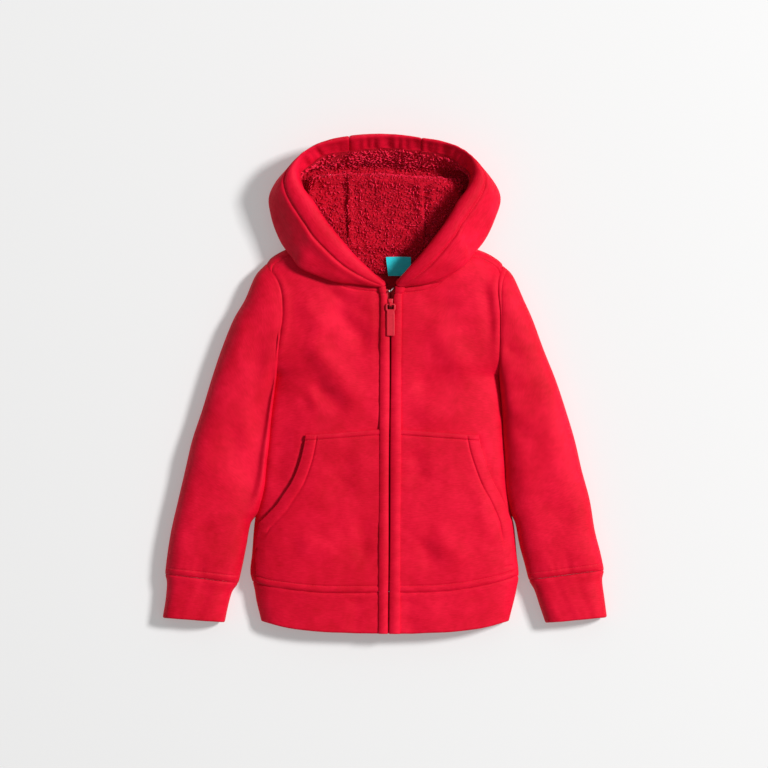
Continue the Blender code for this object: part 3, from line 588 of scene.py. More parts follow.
def ripple(x: Array, y: Array, size: float, depth: float, seed: float) -> Array:
    """Faint, uneven waviness of cloth that isn't pressed quite flat.

    Args:
        x: Places across, in millimetres.
        y: Places along, in millimetres.
        size: How wide the waves are.
        depth: How high they are.
        seed: Shifts them.

    Returns:
        Heights.
    """
    a = np.sin(x / size + 1.7 * np.sin(y / (1.9 * size) + seed) + seed)
    b = np.sin(y / (1.3 * size) + 1.3 * np.sin(x / (2.3 * size) - seed) + 2.0 * seed)
    return depth * a * b


# ==== sheets of cloth ====
@dataclass
class Cloth:
    """A wall of cloth on a grid of points, in millimetres.

    points has its rows first and its columns second.  outward is 1 where the cross
    product of a step along a row with a step up a column points out of the cloth.
    """

    name: str
    points: Array
    thickness: Array | float
    outward: int = 1
    loop: bool = False
    normals: Array = field(init=False)

    def __post_init__(self) -> None:
        """Finds the normals of the first shape."""
        self.normals = self.find_normals()
        self.thickness = np.broadcast_to(np.asarray(self.thickness, float),
                                         self.points.shape[:2]).copy()

    def find_normals(self) -> Array:
        """Unit normals that point out of the cloth.

        Returns:
            One unit vector for each point.
        """
        if self.loop:
            body = self.points[:, :-1]
            along = np.roll(body, -1, axis=1) - np.roll(body, 1, axis=1)
            along = np.concatenate([along, along[:, :1]], axis=1)
        else:
            along = np.gradient(self.points, axis=1)
        up = np.gradient(self.points, axis=0)
        normals = np.cross(along, up) * self.outward
        size = np.linalg.norm(normals, axis=-1, keepdims=True)
        normals = normals / np.maximum(size, 1e-9)
        for _ in range(2):
            normals = self.eased(normals)
        return normals / np.maximum(np.linalg.norm(normals, axis=-1, keepdims=True), 1e-9)

    def eased(self, values: Array) -> Array:
        """The values, each mixed with its neighbours on the grid.

        Args:
            values: Vectors on the grid.

        Returns:
            The eased vectors.
        """
        out = values.copy()
        out[1:-1] = (values[:-2] + 2.0 * values[1:-1] + values[2:]) / 4.0
        values = out.copy()
        if self.loop:
            ring = values[:, :-1]
            ring = (np.roll(ring, 1, axis=1) + 2.0 * ring + np.roll(ring, -1, axis=1)) / 4.0
            return np.concatenate([ring, ring[:, :1]], axis=1)
        out[:, 1:-1] = (values[:, :-2] + 2.0 * values[:, 1:-1] + values[:, 2:]) / 4.0
        return out

    def push(self, height: Array, refresh: bool = True) -> None:
        """Moves the outer face along its normals.

        Args:
            height: How far to move each point.
            refresh: Whether to find the normals again.
        """
        self.points = self.points + self.normals * np.asarray(height, float)[..., None]
        if refresh:
            self.normals = self.find_normals()

    def roll_edge(self, distance: Array, largest: float = 9.0) -> None:
        """Rounds a free edge, by half the wall's thickness or less.

        Args:
            distance: How far each point lies from the edge.
            largest: The largest radius.
        """
        radius = np.minimum(self.thickness / 2.0, largest)
        reach = 1.0 - np.clip(distance / np.maximum(radius, 1e-6), 0.0, 1.0)
        inset = radius * (1.0 - np.sqrt(np.maximum(1.0 - reach * reach, 0.0))) * 0.94
        self.push(-inset, refresh=False)
        self.thickness = self.thickness - 2.0 * inset

    def arc_lengths(self) -> tuple[Array, Array]:
        """Length of cloth from the first column and from the first row.

        Returns:
            One length for each column, and one for each row.
        """
        steps = np.linalg.norm(np.diff(self.points, axis=1), axis=-1).mean(axis=0)
        rises = np.linalg.norm(np.diff(self.points, axis=0), axis=-1).mean(axis=1)
        return run_length(steps), run_length(rises)

    def sample(self, row: Array, col: Array) -> tuple[Array, Array]:
        """Points and normals between the grid lines.

        Args:
            row: Places up the grid, counted in rows.
            col: Places across the grid, counted in columns.

        Returns:
            The points and their unit normals.
        """
        rows, cols = self.points.shape[:2]
        r = np.clip(np.asarray(row, float), 0, rows - 1.001)
        c = np.clip(np.asarray(col, float), 0, cols - 1.001)
        i, j = r.astype(int), c.astype(int)
        fr, fc = (r - i)[:, None], (c - j)[:, None]

        def mixed(values: Array) -> Array:
            """Values between four neighbours."""
            low = values[i, j] * (1 - fc) + values[i, j + 1] * fc
            high = values[i + 1, j] * (1 - fc) + values[i + 1, j + 1] * fc
            return low * (1 - fr) + high * fr

        normals = mixed(self.normals)
        return mixed(self.points), normals / np.linalg.norm(normals, axis=-1, keepdims=True)

    def find(self, x: Array, y: Array) -> tuple[Array, Array]:
        """Rows and columns at places on the ground plan, for a grid that doesn't fold over.

        Args:
            x: Places across.
            y: Places along.

        Returns:
            Rows and columns, with their fractions.
        """
        rows, cols = self.points.shape[:2]
        turn = 1.0 if self.points[0, -1, 0] > self.points[0, 0, 0] else -1.0
        row, col = np.full(len(x), rows / 2), np.full(len(x), cols / 2)
        for _ in range(6):
            for k in range(len(x)):
                line = self.points[int(round(row[k])), :, 0]
                col[k] = np.interp(x[k] * turn, line * turn, np.arange(cols))
                row[k] = np.interp(y[k], self.points[:, int(round(col[k])), 1], np.arange(rows))
        return row, col

    def build(self, material: Material, floor: bool = True) -> Object:
        """Makes the wall as one closed mesh.

        Args:
            material: What the piece is dressed in.
            floor: Keeps the cloth above the ground it lies on.

        Returns:
            The new object, linked to the scene.
        """
        rows, cols = self.points.shape[:2]
        faces = np.stack([self.points, self.points - self.normals * self.thickness[..., None]])
        if floor:
            faces[..., 2] = np.maximum(faces[..., 2], LEAST_Z)
        flat = bmesh.new()
        bmesh.ops.create_grid(flat, x_segments=cols - 1, y_segments=rows - 1, size=0.5)
        grown = bmesh.ops.extrude_face_region(flat, geom=flat.faces[:])["geom"]
        backs = [item for item in grown if isinstance(item, BMVert)]
        bmesh.ops.translate(flat, verts=backs, vec=(0.0, 0.0, 1.0))
        if self.loop:
            ends = [face for face in flat.faces
                    if all(abs(abs(vert.co.x) - 0.5) < 1e-6 for vert in face.verts)]
            bmesh.ops.delete(flat, geom=ends, context="FACES")
        mesh = mesh_of(self.name, flat)
        places = np.empty(len(mesh.vertices) * 3)
        mesh.vertices.foreach_get("co", places)
        places = places.reshape(-1, 3)
        i = np.rint((places[:, 1] + 0.5) * (rows - 1)).astype(int)
        j = np.rint((places[:, 0] + 0.5) * (cols - 1)).astype(int)
        spots = faces[(places[:, 2] > 0.5).astype(int), i, j] * MM
        mesh.vertices.foreach_set("co", spots.ravel())
        self.add_uv(mesh, i, j)
        finish_mesh(mesh, weld=self.loop)
        return place(self.name, mesh, material, GARMENT)

    def add_uv(self, mesh: Mesh, i: Array, j: Array) -> None:
        """Gives the mesh a map in metres along the cloth.

        Args:
            mesh: The mesh.
            i: The grid row of each vertex.
            j: The grid column of each vertex.
        """
        across, up = self.arc_lengths()
        corners = np.empty(len(mesh.loops), dtype=np.int32)
        mesh.loops.foreach_get("vertex_index", corners)
        uv = np.stack([across[j][corners], up[i][corners]], axis=-1) * MM
        mesh.uv_layers.new(name="cloth").data.foreach_set("uv", uv.ravel())


def mesh_of(name: str, work: BMesh) -> Mesh:
    """Turns a worked shape into a mesh of that name, and frees it.

    Args:
        name: The new mesh's name.
        work: What was modelled.

    Returns:
        The mesh.
    """
    mesh = bpy.data.meshes.new(name)
    work.to_mesh(mesh)
    work.free()
    return mesh


def finish_mesh(mesh: Mesh, weld: bool = False, angle: float = 60.0) -> None:
    """Welds if asked, turns the faces outwards and shades them smooth.

    Args:
        mesh: The mesh, which is changed.
        weld: Whether to join points that meet.
        angle: Edges that turn by more degrees stay sharp.
    """
    work = bmesh.new()
    work.from_mesh(mesh)
    if weld:
        bmesh.ops.remove_doubles(work, verts=work.verts[:], dist=1e-6)
    bmesh.ops.recalc_face_normals(work, faces=work.faces[:])
    if work.calc_volume(signed=True) < 0.0:
        bmesh.ops.reverse_faces(work, faces=work.faces[:])
    work.to_mesh(mesh)
    work.free()
    mesh.shade_smooth()
    mesh.set_sharp_from_angle(angle=math.radians(angle))


def place(name: str, mesh: Mesh, material: Material, body: str = "") -> Object:
    """Puts a finished mesh in the scene, dressed.

    Args:
        name: The piece's name.
        mesh: Its shape.
        material: What it is dressed in.
        body: The body it rides on, if any.

    Returns:
        The new object.
    """
    made = bpy.data.objects.new(name, mesh)
    made.data.materials.append(material)
    bpy.context.scene.collection.objects.link(made)
    if body:
        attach(made, body)
    log.info("%s: %d faces", name, len(mesh.polygons))
    return made


@dataclass(frozen=True)
class Cut:
    """The flat piece that was cut, in metres: its width and length, and its area."""

    width: float
    length: float
    area: float


def declare(made: Object, node: str) -> None:
    """Hides the solid that a cloth piece stands for.

    Args:
        made: The finished piece.
        node: The solid that it replaces.
    """
    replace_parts(made, node)


# ==== finishes ====
@dataclass
class Tree:
    """A node tree, with short ways to add nodes and join them."""

    tree: NodeTree

    def feed(self, socket: NodeSocket, value: object) -> None:
        """Joins a socket to another one, or sets it.

        Args:
            socket: An input.
            value: A socket, or the input's value.
        """
        if isinstance(value, NodeSocket):
            self.tree.links.new(value, socket)
        else:
            socket.default_value = value

    def add(self, kind: str, settings: dict | None = None, **inputs: object) -> Node:
        """Adds a node.

        Args:
            kind: Blender's name of the node's type.
            settings: The node's own options.
            **inputs: Sockets by name, underscores for spaces; a socket is joined.

        Returns:
            The new node.
        """
        node = self.tree.nodes.new(kind)
        for name, value in (settings or {}).items():
            setattr(node, name, value)
        for name, value in inputs.items():
            self.feed(node.inputs[name.replace("_", " ")], value)
        return node

    def math(self, operation: str, *values: object) -> NodeSocket:
        """A Math node's output.

        Args:
            operation: What the node does.
            *values: Its inputs.

        Returns:
            The result.
        """
        node = self.add("ShaderNodeMath", {"operation": operation})
        for socket, value in zip(node.inputs, values):
            self.feed(socket, value)
        return node.outputs[0]

    def noise(self, vector: object, scale: float, detail: float = 3.0,
              roughness: float = 0.55) -> NodeSocket:
        """A noise pattern's value.

        Args:
            vector: Where the pattern is read.
            scale: How fine it is.
            detail: How many finer layers it has.
            roughness: How strong they are.

        Returns:
            The value.
        """
        node = self.add("ShaderNodeTexNoise", Vector=vector, Scale=scale, Detail=detail,
                        Roughness=roughness)
        return node.outputs[0]

    def ground(self) -> NodeSocket:
        """Where a spot lies in the object."""
        return self.add("ShaderNodeTexCoord").outputs["Object"]

    def stretched(self, vector: object, scale: tuple) -> NodeSocket:
        """A vector scaled along each axis."""
        return self.add("ShaderNodeMapping", Vector=vector, Scale=scale).outputs[0]


def group_sockets(tree: NodeTree, ins: dict, outs: Sequence[str]) -> tuple:
    """Gives a node group its sockets.

    Args:
        tree: The group.
        ins: Names and defaults of the inputs; None stands for a vector.
        outs: Names of the outputs, all plain values.

    Returns:
        The group's input and output nodes.
    """
    for name, default in ins.items():
        kind = "NodeSocketVector" if default is None else "NodeSocketFloat"
        socket = tree.interface.new_socket(name=name, in_out="INPUT", socket_type=kind)
        if default is not None:
            socket.default_value = default
    for name in outs:
        tree.interface.new_socket(name=name, in_out="OUTPUT", socket_type="NodeSocketFloat")
    return tree.nodes.new("NodeGroupInput"), tree.nodes.new("NodeGroupOutput")


def knit_group() -> NodeTree:
    """Fine knitted face: columns of small Vs, as a height.

    Returns:
        The node group.
    """
    group = bpy.data.node_groups.new("knit_face", "ShaderNodeTree")
    start, end = group_sockets(group, {"Vector": None, "Wale": 0.0009, "Course": 0.0007},
                               ("Height",))
    tree = Tree(group)
    split = tree.add("ShaderNodeSeparateXYZ", Vector=start.outputs["Vector"])
    column_at = tree.math("DIVIDE", split.outputs["X"], start.outputs["Wale"])
    off_centre = tree.math("PINGPONG", column_at, 0.5)
    row_at = tree.math("DIVIDE", split.outputs["Y"], start.outputs["Course"])
    slanted = tree.math("ADD", row_at, tree.math("MULTIPLY", off_centre, 1.4))
    loop = tree.math("SINE", tree.math("MULTIPLY", slanted, 2.0 * math.pi))
    rib = tree.math("SINE", tree.math("MULTIPLY", off_centre, 2.0 * math.pi))
    both = tree.math("MULTIPLY", tree.math("ADD", tree.math("MULTIPLY", loop, 0.5), 0.5), rib)
    group.links.new(both, end.inputs["Height"])
    return group


def nap_group() -> NodeTree:
    """Brushed, slightly uneven surface: a fine height and a soft shade.

    Returns:
        The node group.
    """
    group = bpy.data.node_groups.new("brushed_nap", "ShaderNodeTree")
    start, end = group_sockets(group, {"Vector": None, "Place": None}, ("Height", "Shade"))
    tree = Tree(group)
    along = tree.stretched(start.outputs["Vector"], (130.0, 850.0, 1.0))
    fine = tree.noise(along, 1.0, 2.0)
    fuzz = tree.noise(tree.stretched(start.outputs["Vector"], (2600.0, 2600.0, 1.0)), 1.0, 2.0)
    group.links.new(tree.math("ADD", fine, fuzz), end.inputs["Height"])
    broad = tree.noise(start.outputs["Place"], 16.0, 2.0)
    middle = tree.noise(start.outputs["Place"], 95.0, 3.0)
    shade = tree.math("ADD", tree.math("MULTIPLY", broad, 0.45), tree.math("MULTIPLY", middle, 0.25))
    group.links.new(tree.math("ADD", shade, tree.math("MULTIPLY", fine, 0.30)), end.inputs["Shade"])
    return group


def new_material(name: str, **constants: object) -> tuple[Material, Tree, Node]:
    """A material with its tree and shader.

    Args:
        name: Its name.
        **constants: The shader's plain inputs, underscores for spaces.

    Returns:
        The material, its tree and its shader.
    """
    material = bpy.data.materials.new(name)
    material.use_nodes = True
    shader = material.node_tree.nodes["Principled BSDF"]
    for key, value in constants.items():
        shader.inputs[key.replace("_", " ")].default_value = value
    return material, Tree(material.node_tree), shader


def coloured(tree: Tree, shader: Node, value: object, stops: Sequence[tuple]) -> None:
    """Colours a shader from a value through a ramp of (place, colour) stops.

    Args:
        tree: The material's tree.
        shader: Its shader.
        value: What runs through the ramp.
        stops: The ramp's stops.
    """
    ramp = tree.add("ShaderNodeValToRGB", Fac=value)
    band = ramp.color_ramp
    while len(band.elements) < len(stops):
        band.elements.new(0.5)
    for element, (spot, colour) in zip(band.elements, stops):
        element.position = spot
        element.color = (*colour, 1.0)
    tree.tree.links.new(ramp.outputs[0], shader.inputs["Base Color"])


def bumped(tree: Tree, shader: Node, heights: Sequence[tuple]) -> None:
    """Chains bumps, each a (height, distance in metres, strength), into a shader.

    Args:
        tree: The material's tree.
        shader: Its shader.
        heights: The bumps.
    """
    last = None
    for height, distance, strength in heights:
        bump = tree.add("ShaderNodeBump", Height=height, Distance=distance, Strength=strength)
        if last:
            tree.tree.links.new(last.outputs[0], bump.inputs["Normal"])
        last = bump
    tree.tree.links.new(last.outputs[0], shader.inputs["Normal"])


@dataclass(frozen=True)
class Fleece:
    """Heavy sweatshirt fleece: a fine knitted face with a soft, matt nap."""

    name: str = "red_fleece_cloth"
    dark: tuple = (0.560, 0.0010, 0.0140)
    middle: tuple = (0.700, 0.0025, 0.0260)
    light: tuple = (0.840, 0.0060, 0.0400)
    sheen: float = 0.06

    def make(self) -> Material:
        """Builds the material.

        Returns:
            The material.
        """
        material, tree, shader = new_material(
            self.name, Roughness=0.56, Specular_IOR_Level=0.10, Sheen_Weight=self.sheen,
            Sheen_Roughness=0.4, Sheen_Tint=(1.0, 0.20, 0.24, 1.0))
        cloth = tree.add("ShaderNodeUVMap", {"uv_map": "cloth"}).outputs[0]
        knit = tree.add("ShaderNodeGroup", {"node_tree": Groups.knit}, Vector=cloth)
        nap = tree.add("ShaderNodeGroup", {"node_tree": Groups.nap}, Vector=cloth, Place=tree.ground())
        coloured(tree, shader, nap.outputs["Shade"],
                 ((0.36, self.dark), (0.51, self.middle), (0.66, self.light)))
        bumped(tree, shader, ((knit.outputs["Height"], 0.00012, 0.5),
                              (nap.outputs["Height"], 0.00016, 0.6)))
        return material


@dataclass(frozen=True)
class Sherpa:
    """Curly pile, with painted shade between the curls and painted light on the top of each curl."""

    name: str
    # The dark stop is painted shade between the curls and the light stop is painted light on their tops;
    # clump noise also moves colour between them at random.
    dark: tuple = (0.36, 0.0008, 0.010)
    middle: tuple = (0.82, 0.0030, 0.034)
    light: tuple = (0.98, 0.030, 0.100)

    def make(self) -> Material:
        """Builds the material; an attribute says how high in the pile a spot is, and the ramp turns that
        into painted shade low in the pile and painted light high up.

        Returns:
            The material.
        """
        material, tree, shader = new_material(
            self.name, Roughness=0.8, Specular_IOR_Level=0.12, Sheen_Weight=0.5,
            Sheen_Roughness=0.35, Sheen_Tint=(1.0, 0.12, 0.18, 1.0))
        ground = tree.ground()
        pile = tree.add("ShaderNodeAttribute", {"attribute_name": "pile"}).outputs["Fac"]
        clump = tree.noise(ground, 420.0, 4.0, 0.6)
        broad = tree.noise(ground, 60.0, 2.0)
        # painted shade and light: low pile values run to the dark stop, high ones to the light stop
        mixed = tree.math("ADD", tree.math("MULTIPLY", pile, 0.55), tree.math("MULTIPLY", clump, 0.30))
        shade = tree.math("ADD", mixed, tree.math("MULTIPLY", broad, 0.15))
        coloured(tree, shader, shade, ((0.22, self.dark), (0.50, self.middle), (0.85, self.light)))
        bumped(tree, shader, ((clump, 0.0009, 0.8), (tree.noise(ground, 1800.0, 2.0), 0.0003, 0.5)))
        return material


@dataclass(frozen=True)
class Twine:
    """Twisted thread or a moulded coil, with a soft gloss."""

    name: str
    dark: tuple
    light: tuple
    twist: float = 900.0
    roughness: float = 0.6

    def make(self) -> Material:
        """Builds the material.

        Returns:
            The material.
        """
        material, tree, shader = new_material(self.name, Roughness=self.roughness, Sheen_Weight=0.2)
        wave = tree.add("ShaderNodeTexWave", {"bands_direction": "DIAGONAL"}, Vector=tree.ground(),
                        Scale=self.twist, Distortion=1.5)
        coloured(tree, shader, wave.outputs[1], ((0.2, self.dark), (0.8, self.light)))
        bumped(tree, shader, ((wave.outputs[1], 0.00008, 0.6),))
        return material


@dataclass(frozen=True)
class Woven:
    """Tape or ribbon woven from fine yarn."""

    name: str
    dark: tuple
    light: tuple
    pitch: float = 0.0005
    roughness: float = 0.7

    def make(self) -> Material:
        """Builds the material.

        Returns:
            The material.
        """
        material, tree, shader = new_material(self.name, Roughness=self.roughness, Sheen_Weight=0.15)
        ground = tree.ground()
        split = tree.add("ShaderNodeSeparateXYZ", Vector=ground)
        turns = 2.0 * math.pi / self.pitch
        warp = tree.math("SINE", tree.math("MULTIPLY", split.outputs["X"], turns))
        weft = tree.math("SINE", tree.math("MULTIPLY", split.outputs["Y"], turns))
        weave = tree.math("MULTIPLY", warp, weft)
        shade = tree.math("ADD", tree.math("MULTIPLY", weave, 0.25), tree.noise(ground, 140.0))
        coloured(tree, shader, shade, ((0.25, self.dark), (0.75, self.light)))
        bumped(tree, shader, ((weave, 0.0001, 0.6),))
        return material


@dataclass(frozen=True)
class Enamel:
    """Painted or plain metal with a faint orange peel and paler worn patches scattered at random."""

    name: str
    colour: tuple
    worn: tuple
    metallic: float = 0.0
    roughness: float = 0.38

    def make(self) -> Material:
        """Builds the material.

        Returns:
            The material.
        """
        material, tree, shader = new_material(self.name, Metallic=self.metallic, Coat_Weight=0.15)
        ground = tree.ground()
        peel = tree.noise(ground, 900.0, 2.0)
        wear = tree.noise(ground, 260.0, 4.0, 0.7)
        coloured(tree, shader, wear, ((0.45, self.colour), (0.85, self.worn)))
        gloss = tree.add("ShaderNodeMapRange", Value=wear, To_Min=self.roughness,
                         To_Max=self.roughness + 0.2)
        tree.feed(shader.inputs["Roughness"], gloss.outputs[0])
        bumped(tree, shader, ((peel, 0.00005, 0.4),))
        return material


class Groups:
    """The shared node groups."""

    knit = knit_group()
    nap = nap_group()


class Finish(Enum):
    """Every finish on the garment."""

    FLEECE = Fleece()
    SHERPA = Sherpa("red_sherpa_pile")
    THREAD = Twine("red_thread", (0.52, 0.0015, 0.014), (0.74, 0.004, 0.028), 1500.0)
    COIL = Twine("red_zip_coil", (0.45, 0.003, 0.014), (0.60, 0.008, 0.026), 400.0, 0.42)
    TAPE = Woven("red_zip_tape", (0.42, 0.002, 0.012), (0.58, 0.004, 0.022))
    LABEL = Woven("teal_label_weave", (0.005, 0.680, 0.780), (0.02, 0.800, 0.880), 0.0006)
    ENAMEL = Enamel("red_slider_enamel", (0.60, 0.002, 0.020), (0.70, 0.006, 0.032))
    METAL = Enamel("pale_stop_metal", (0.60, 0.58, 0.58), (0.72, 0.70, 0.70), 0.6, 0.35)

    @property
    def material(self) -> Material:
        """The material, built the first time it is asked for."""
        return bpy.data.materials.get(self.value.name) or self.value.make()


def sheet(cloth: Cloth, node: str, finish: Finish = Finish.FLEECE,
          floor: bool = True) -> None:
    """Builds and declares a piece of cloth."""
    declare(cloth.build(finish.material, floor), node)


# ==== relief beside seams ====
def welt(distance: Array, line: float, puff: float = 0.45, pinch: float = 0.65,
         sink: float = 0.8) -> Array:
    """Relief beside a seam: sunk in the seam, full, then pinched by its stitches."""
    full = puff * swell(distance / line)
    return full - sink * bell(distance, 1.3) - pinch * bell(distance - line, 1.0)


SEW_LINE = 7.5                  # topstitching above the hem band and cuffs
NECK_LINE = 9.0                 # topstitching below the hood
ARM_LINE = 6.0                  # topstitching beside the armholes
POCKET_HEM = 13.0               # turned-in edge of a pocket's opening
POCKET_TOP_LINE = 7.0           # second row along a pocket's top


@dataclass
class SewnRow:
    """One row of stitches: points and normals along it."""

    points: Array
    normals: Array


@dataclass
class Sewing:
    """Collects rows of stitches, then makes every row of a name one mesh of thread."""

    pitch: float = 3.1
    length: float = 2.3
    radius: float = 0.24
    dive: float = 1.6
    taper: float = 0.35
    flatness: float = 0.8
    proud: float = 0.12
    rows: dict[str, list[SewnRow]] = field(default_factory=dict)

    def along_row(self, name: str, cloth: Cloth, row: float, start: float = 0.0,
                  end: float = 1.0) -> None:
        """Sews along a grid row.

        Args:
            name: The stitches' name.
            cloth: What is sewn.
            row: The grid row.
            start: Share of the row's columns at which the stitches start.
            end: Share of the columns at which they end.
        """
        cols = cloth.points.shape[1] - 1
        at = np.linspace(start * cols, end * cols, 4 * cols)
        self.keep(name, cloth.sample(np.full(at.shape, float(row)), at))

    def below_top(self, name: str, cloth: Cloth, line: float, start: float, end: float) -> None:
        """Sews along the grid row that lies this far below the cloth's top edge."""
        row = cloth.points.shape[0] - 1 - stitched(line).index(line)
        self.along_row(name, cloth, row, start, end)

    def keep(self, name: str, sampled: tuple[Array, Array]) -> None:
        """Keeps a row of stitches under a name."""
        self.rows.setdefault(name, []).append(SewnRow(*sampled))

    def thread(self) -> Mesh:
        """One stitch: a short thread whose ends dive into the cloth.

        Returns:
            The stitch.
        """
        work = bmesh.new()
        bmesh.ops.create_cone(work, cap_ends=True, segments=6, radius1=self.radius,
                              radius2=self.radius, depth=self.length)
        sides = [edge for edge in work.edges
                 if abs(edge.verts[0].co.z - edge.verts[1].co.z) > self.length / 2]
        bmesh.ops.subdivide_edges(work, edges=sides, cuts=2)
        for vert in work.verts:
            share = vert.co.z / (self.length / 2)
            dive = self.radius * self.dive * share * share
            slim = 1.0 - self.taper * share * share
            z = vert.co.y * slim * self.flatness - dive + self.proud
            vert.co = Vector((vert.co.z, vert.co.x * slim, z))
        bmesh.ops.recalc_face_normals(work, faces=work.faces[:])
        return mesh_of("stitch", work)

    def make(self, name: str) -> None:
        """Makes all the stitches of a name, as one piece.

        Args:
            name: The stitches' name, and the piece's.
        """
        stitches = Copies(self.thread())
        for row in self.rows[name]:
            run = run_length(np.linalg.norm(np.diff(row.points, axis=0), axis=1))
            spots = np.arange(self.pitch, run[-1] - self.pitch, self.pitch)
            middle, after, up = (
                np.stack([np.interp(places, run, values[:, k]) for k in range(3)], axis=1)
                for places, values in ((spots, row.points), (spots + 0.6, row.points), (spots, row.normals)))
            for spot, ahead, normal in zip(middle, after, up):
                stitches.add(spot, ahead - spot, normal)
        stitches.finish(name, Finish.THREAD, "red_fleece")


@dataclass
class Copies:
    """Copies of one small shape in millimetres, along X with Z up, in a single mesh."""

    shape: Mesh
    work: BMesh = field(default_factory=bmesh.new)

    def add(self, spot: Array, along: Array, normal: Array, size: float = 1.0) -> None:
        """Adds a copy.

        Args:
            spot: Where it goes, in millimetres.
            along: Which way its X points.
            normal: Which way its Z points, roughly.
            size: How much larger than the shape it is.
        """
        forward = Vector(along).normalized()
        side = Vector(normal).cross(forward).normalized()
        turn = Matrix((forward, side, forward.cross(side))).transposed().to_4x4()
        put = Matrix.Translation(Vector(spot) * MM) @ turn @ Matrix.Scale(size * MM, 4)
        self.shape.transform(put)
        self.work.from_mesh(self.shape)
        self.shape.transform(put.inverted())

    def finish(self, name: str, finish: Finish, slot: str) -> Object:
        """Makes one object of all the copies, riding on the garment.

        Args:
            name: Its name.
            finish: What it is dressed in.
            slot: Not used.

        Returns:
            The object.
        """
        mesh = mesh_of(name, self.work)
        bpy.data.meshes.remove(self.shape)
        mesh.shade_smooth()
        made = place(name, mesh, finish.material, GARMENT)
        return made


@dataclass(frozen=True)
class Hook:
    """A short length of yarn or wire bent round in an arc, in millimetres."""

    name: str
    sides: int
    thick: float
    radius: float
    angle: float
    steps: int
    rise: float
    filled: bool = False

    def make(self) -> Mesh:
        """Spins a ring of points round into the hook.

        Returns:
            The hook.
        """
        work = bmesh.new()
        ring = bmesh.ops.create_circle(work, segments=self.sides, radius=self.thick)["verts"]
        bmesh.ops.rotate(work, verts=ring, cent=(0, 0, 0), matrix=Matrix.Rotation(math.pi / 2, 3, "X"))
        bmesh.ops.translate(work, verts=ring, vec=(self.radius, 0.0, 0.0))
        bmesh.ops.spin(work, geom=work.edges[:], cent=(0, 0, 0), axis=(0, 1, 0), angle=-self.angle,
                       steps=self.steps, dvec=(0.0, self.rise, 0.0))
        if self.filled:
            ends = [edge for edge in work.edges if edge.is_boundary]
            bmesh.ops.holes_fill(work, edges=ends, sides=6)
        bmesh.ops.recalc_face_normals(work, faces=work.faces[:])
        return mesh_of(self.name, work)


# ==== body pieces ====
FRONT_FOLDS = {
    LEFT: (
        Fold(((-72, 190), (-46, 158), (-15, 118)), 13.0, -2.4),
        Fold(((-104, 150), (-68, 108), (-24, 52)), 15.0, 2.3),
        Fold(((-98, 96), (-72, 74), (-46, 54)), 10.0, -1.6),
        Fold(((-108, 192), (-88, 168), (-74, 140)), 12.0, 1.3),
        Fold(((-120, 40), (-104, 62), (-86, 70)), 12.0, -0.9),
        Fold(((-88, 202), (-52, 187), (-16, 164)), 7.0, -1.5),
    ),
    RIGHT: (
        Fold(((48, 170), (66, 136), (92, 84)), 17.0, 1.6),
        Fold(((20, 84), (52, 92), (90, 102)), 14.0, -1.5),
        Fold(((108, 214), (117, 175), (121, 128)), 7.0, -1.2),
        Fold(((22, 60), (60, 52), (100, 62)), 13.0, 0.9),
        Fold(((30, 190), (56, 182), (88, 190)), 12.0, -0.9),
    ),
}
FOLD_GAIN = 2.1                 # deepens the folds of fronts and pockets
POCKET_FOLDS = {
    LEFT: (
        Fold(((-60, 20), (-54, -20), (-62, -60)), 16.0, -0.8),
        Fold(((-112, -90), (-84, -104), (-50, -98)), 14.0, 0.9),
        Fold(((-36, -60), (-30, -96), (-34, -130)), 12.0, -0.9),
    ),
    RIGHT: (
        Fold(((28, 14), (34, -8), (30, -34)), 12.0, -1.1),
        Fold(((46, -70), (70, -102), (84, -132)), 15.0, 0.9),
        Fold(((30, -92), (44, -110), (52, -132)), 12.0, -1.0),
        Fold(((96, -16), (112, -60), (126, -104)), 13.0, 0.8),
    ),
}
BACK_FOLDS = (
    Fold(((-110, 150), (-60, 120), (10, 126)), 13.0, -1.4),
    Fold(((20, 96), (70, 60), (118, 70)), 14.0, -1.2),
    Fold(((-130, 10), (-70, -14), (-20, -4)), 12.0, -1.1),
    Fold(((30, -60), (84, -84), (128, -70)), 13.0, -1.3),
    Fold(((-96, -60), (-90, -100), (-100, -138)), 11.0, -1.0),
)

BAND_FOLDS = (
    Fold(((-42, -158), (-38, -180), (-44, -205)), 9.0, -1.0, 0.2),
    Fold(((26, -160), (22, -182), (30, -206)), 8.0, -1.1, 0.2),
    Fold(((44, -156), (50, -180), (46, -205)), 12.0, 0.8, 0.2),
    Fold(((-106, -150), (-110, -176), (-104, -200)), 12.0, -0.7, 0.2),
    Fold(((98, -150), (102, -176), (98, -200)), 10.0, -0.7, 0.2),
)


def body_relief(side: int, x: Array, y: Array) -> Array:
    """Folds of the upper layer, shared by each piece that lies in it."""
    folds = folded(FRONT_FOLDS[side] + POCKET_FOLDS[side], x, y)
    return FOLD_GAIN * folds + ripple(x, y, 17.0, 0.3, 1.0 + side)


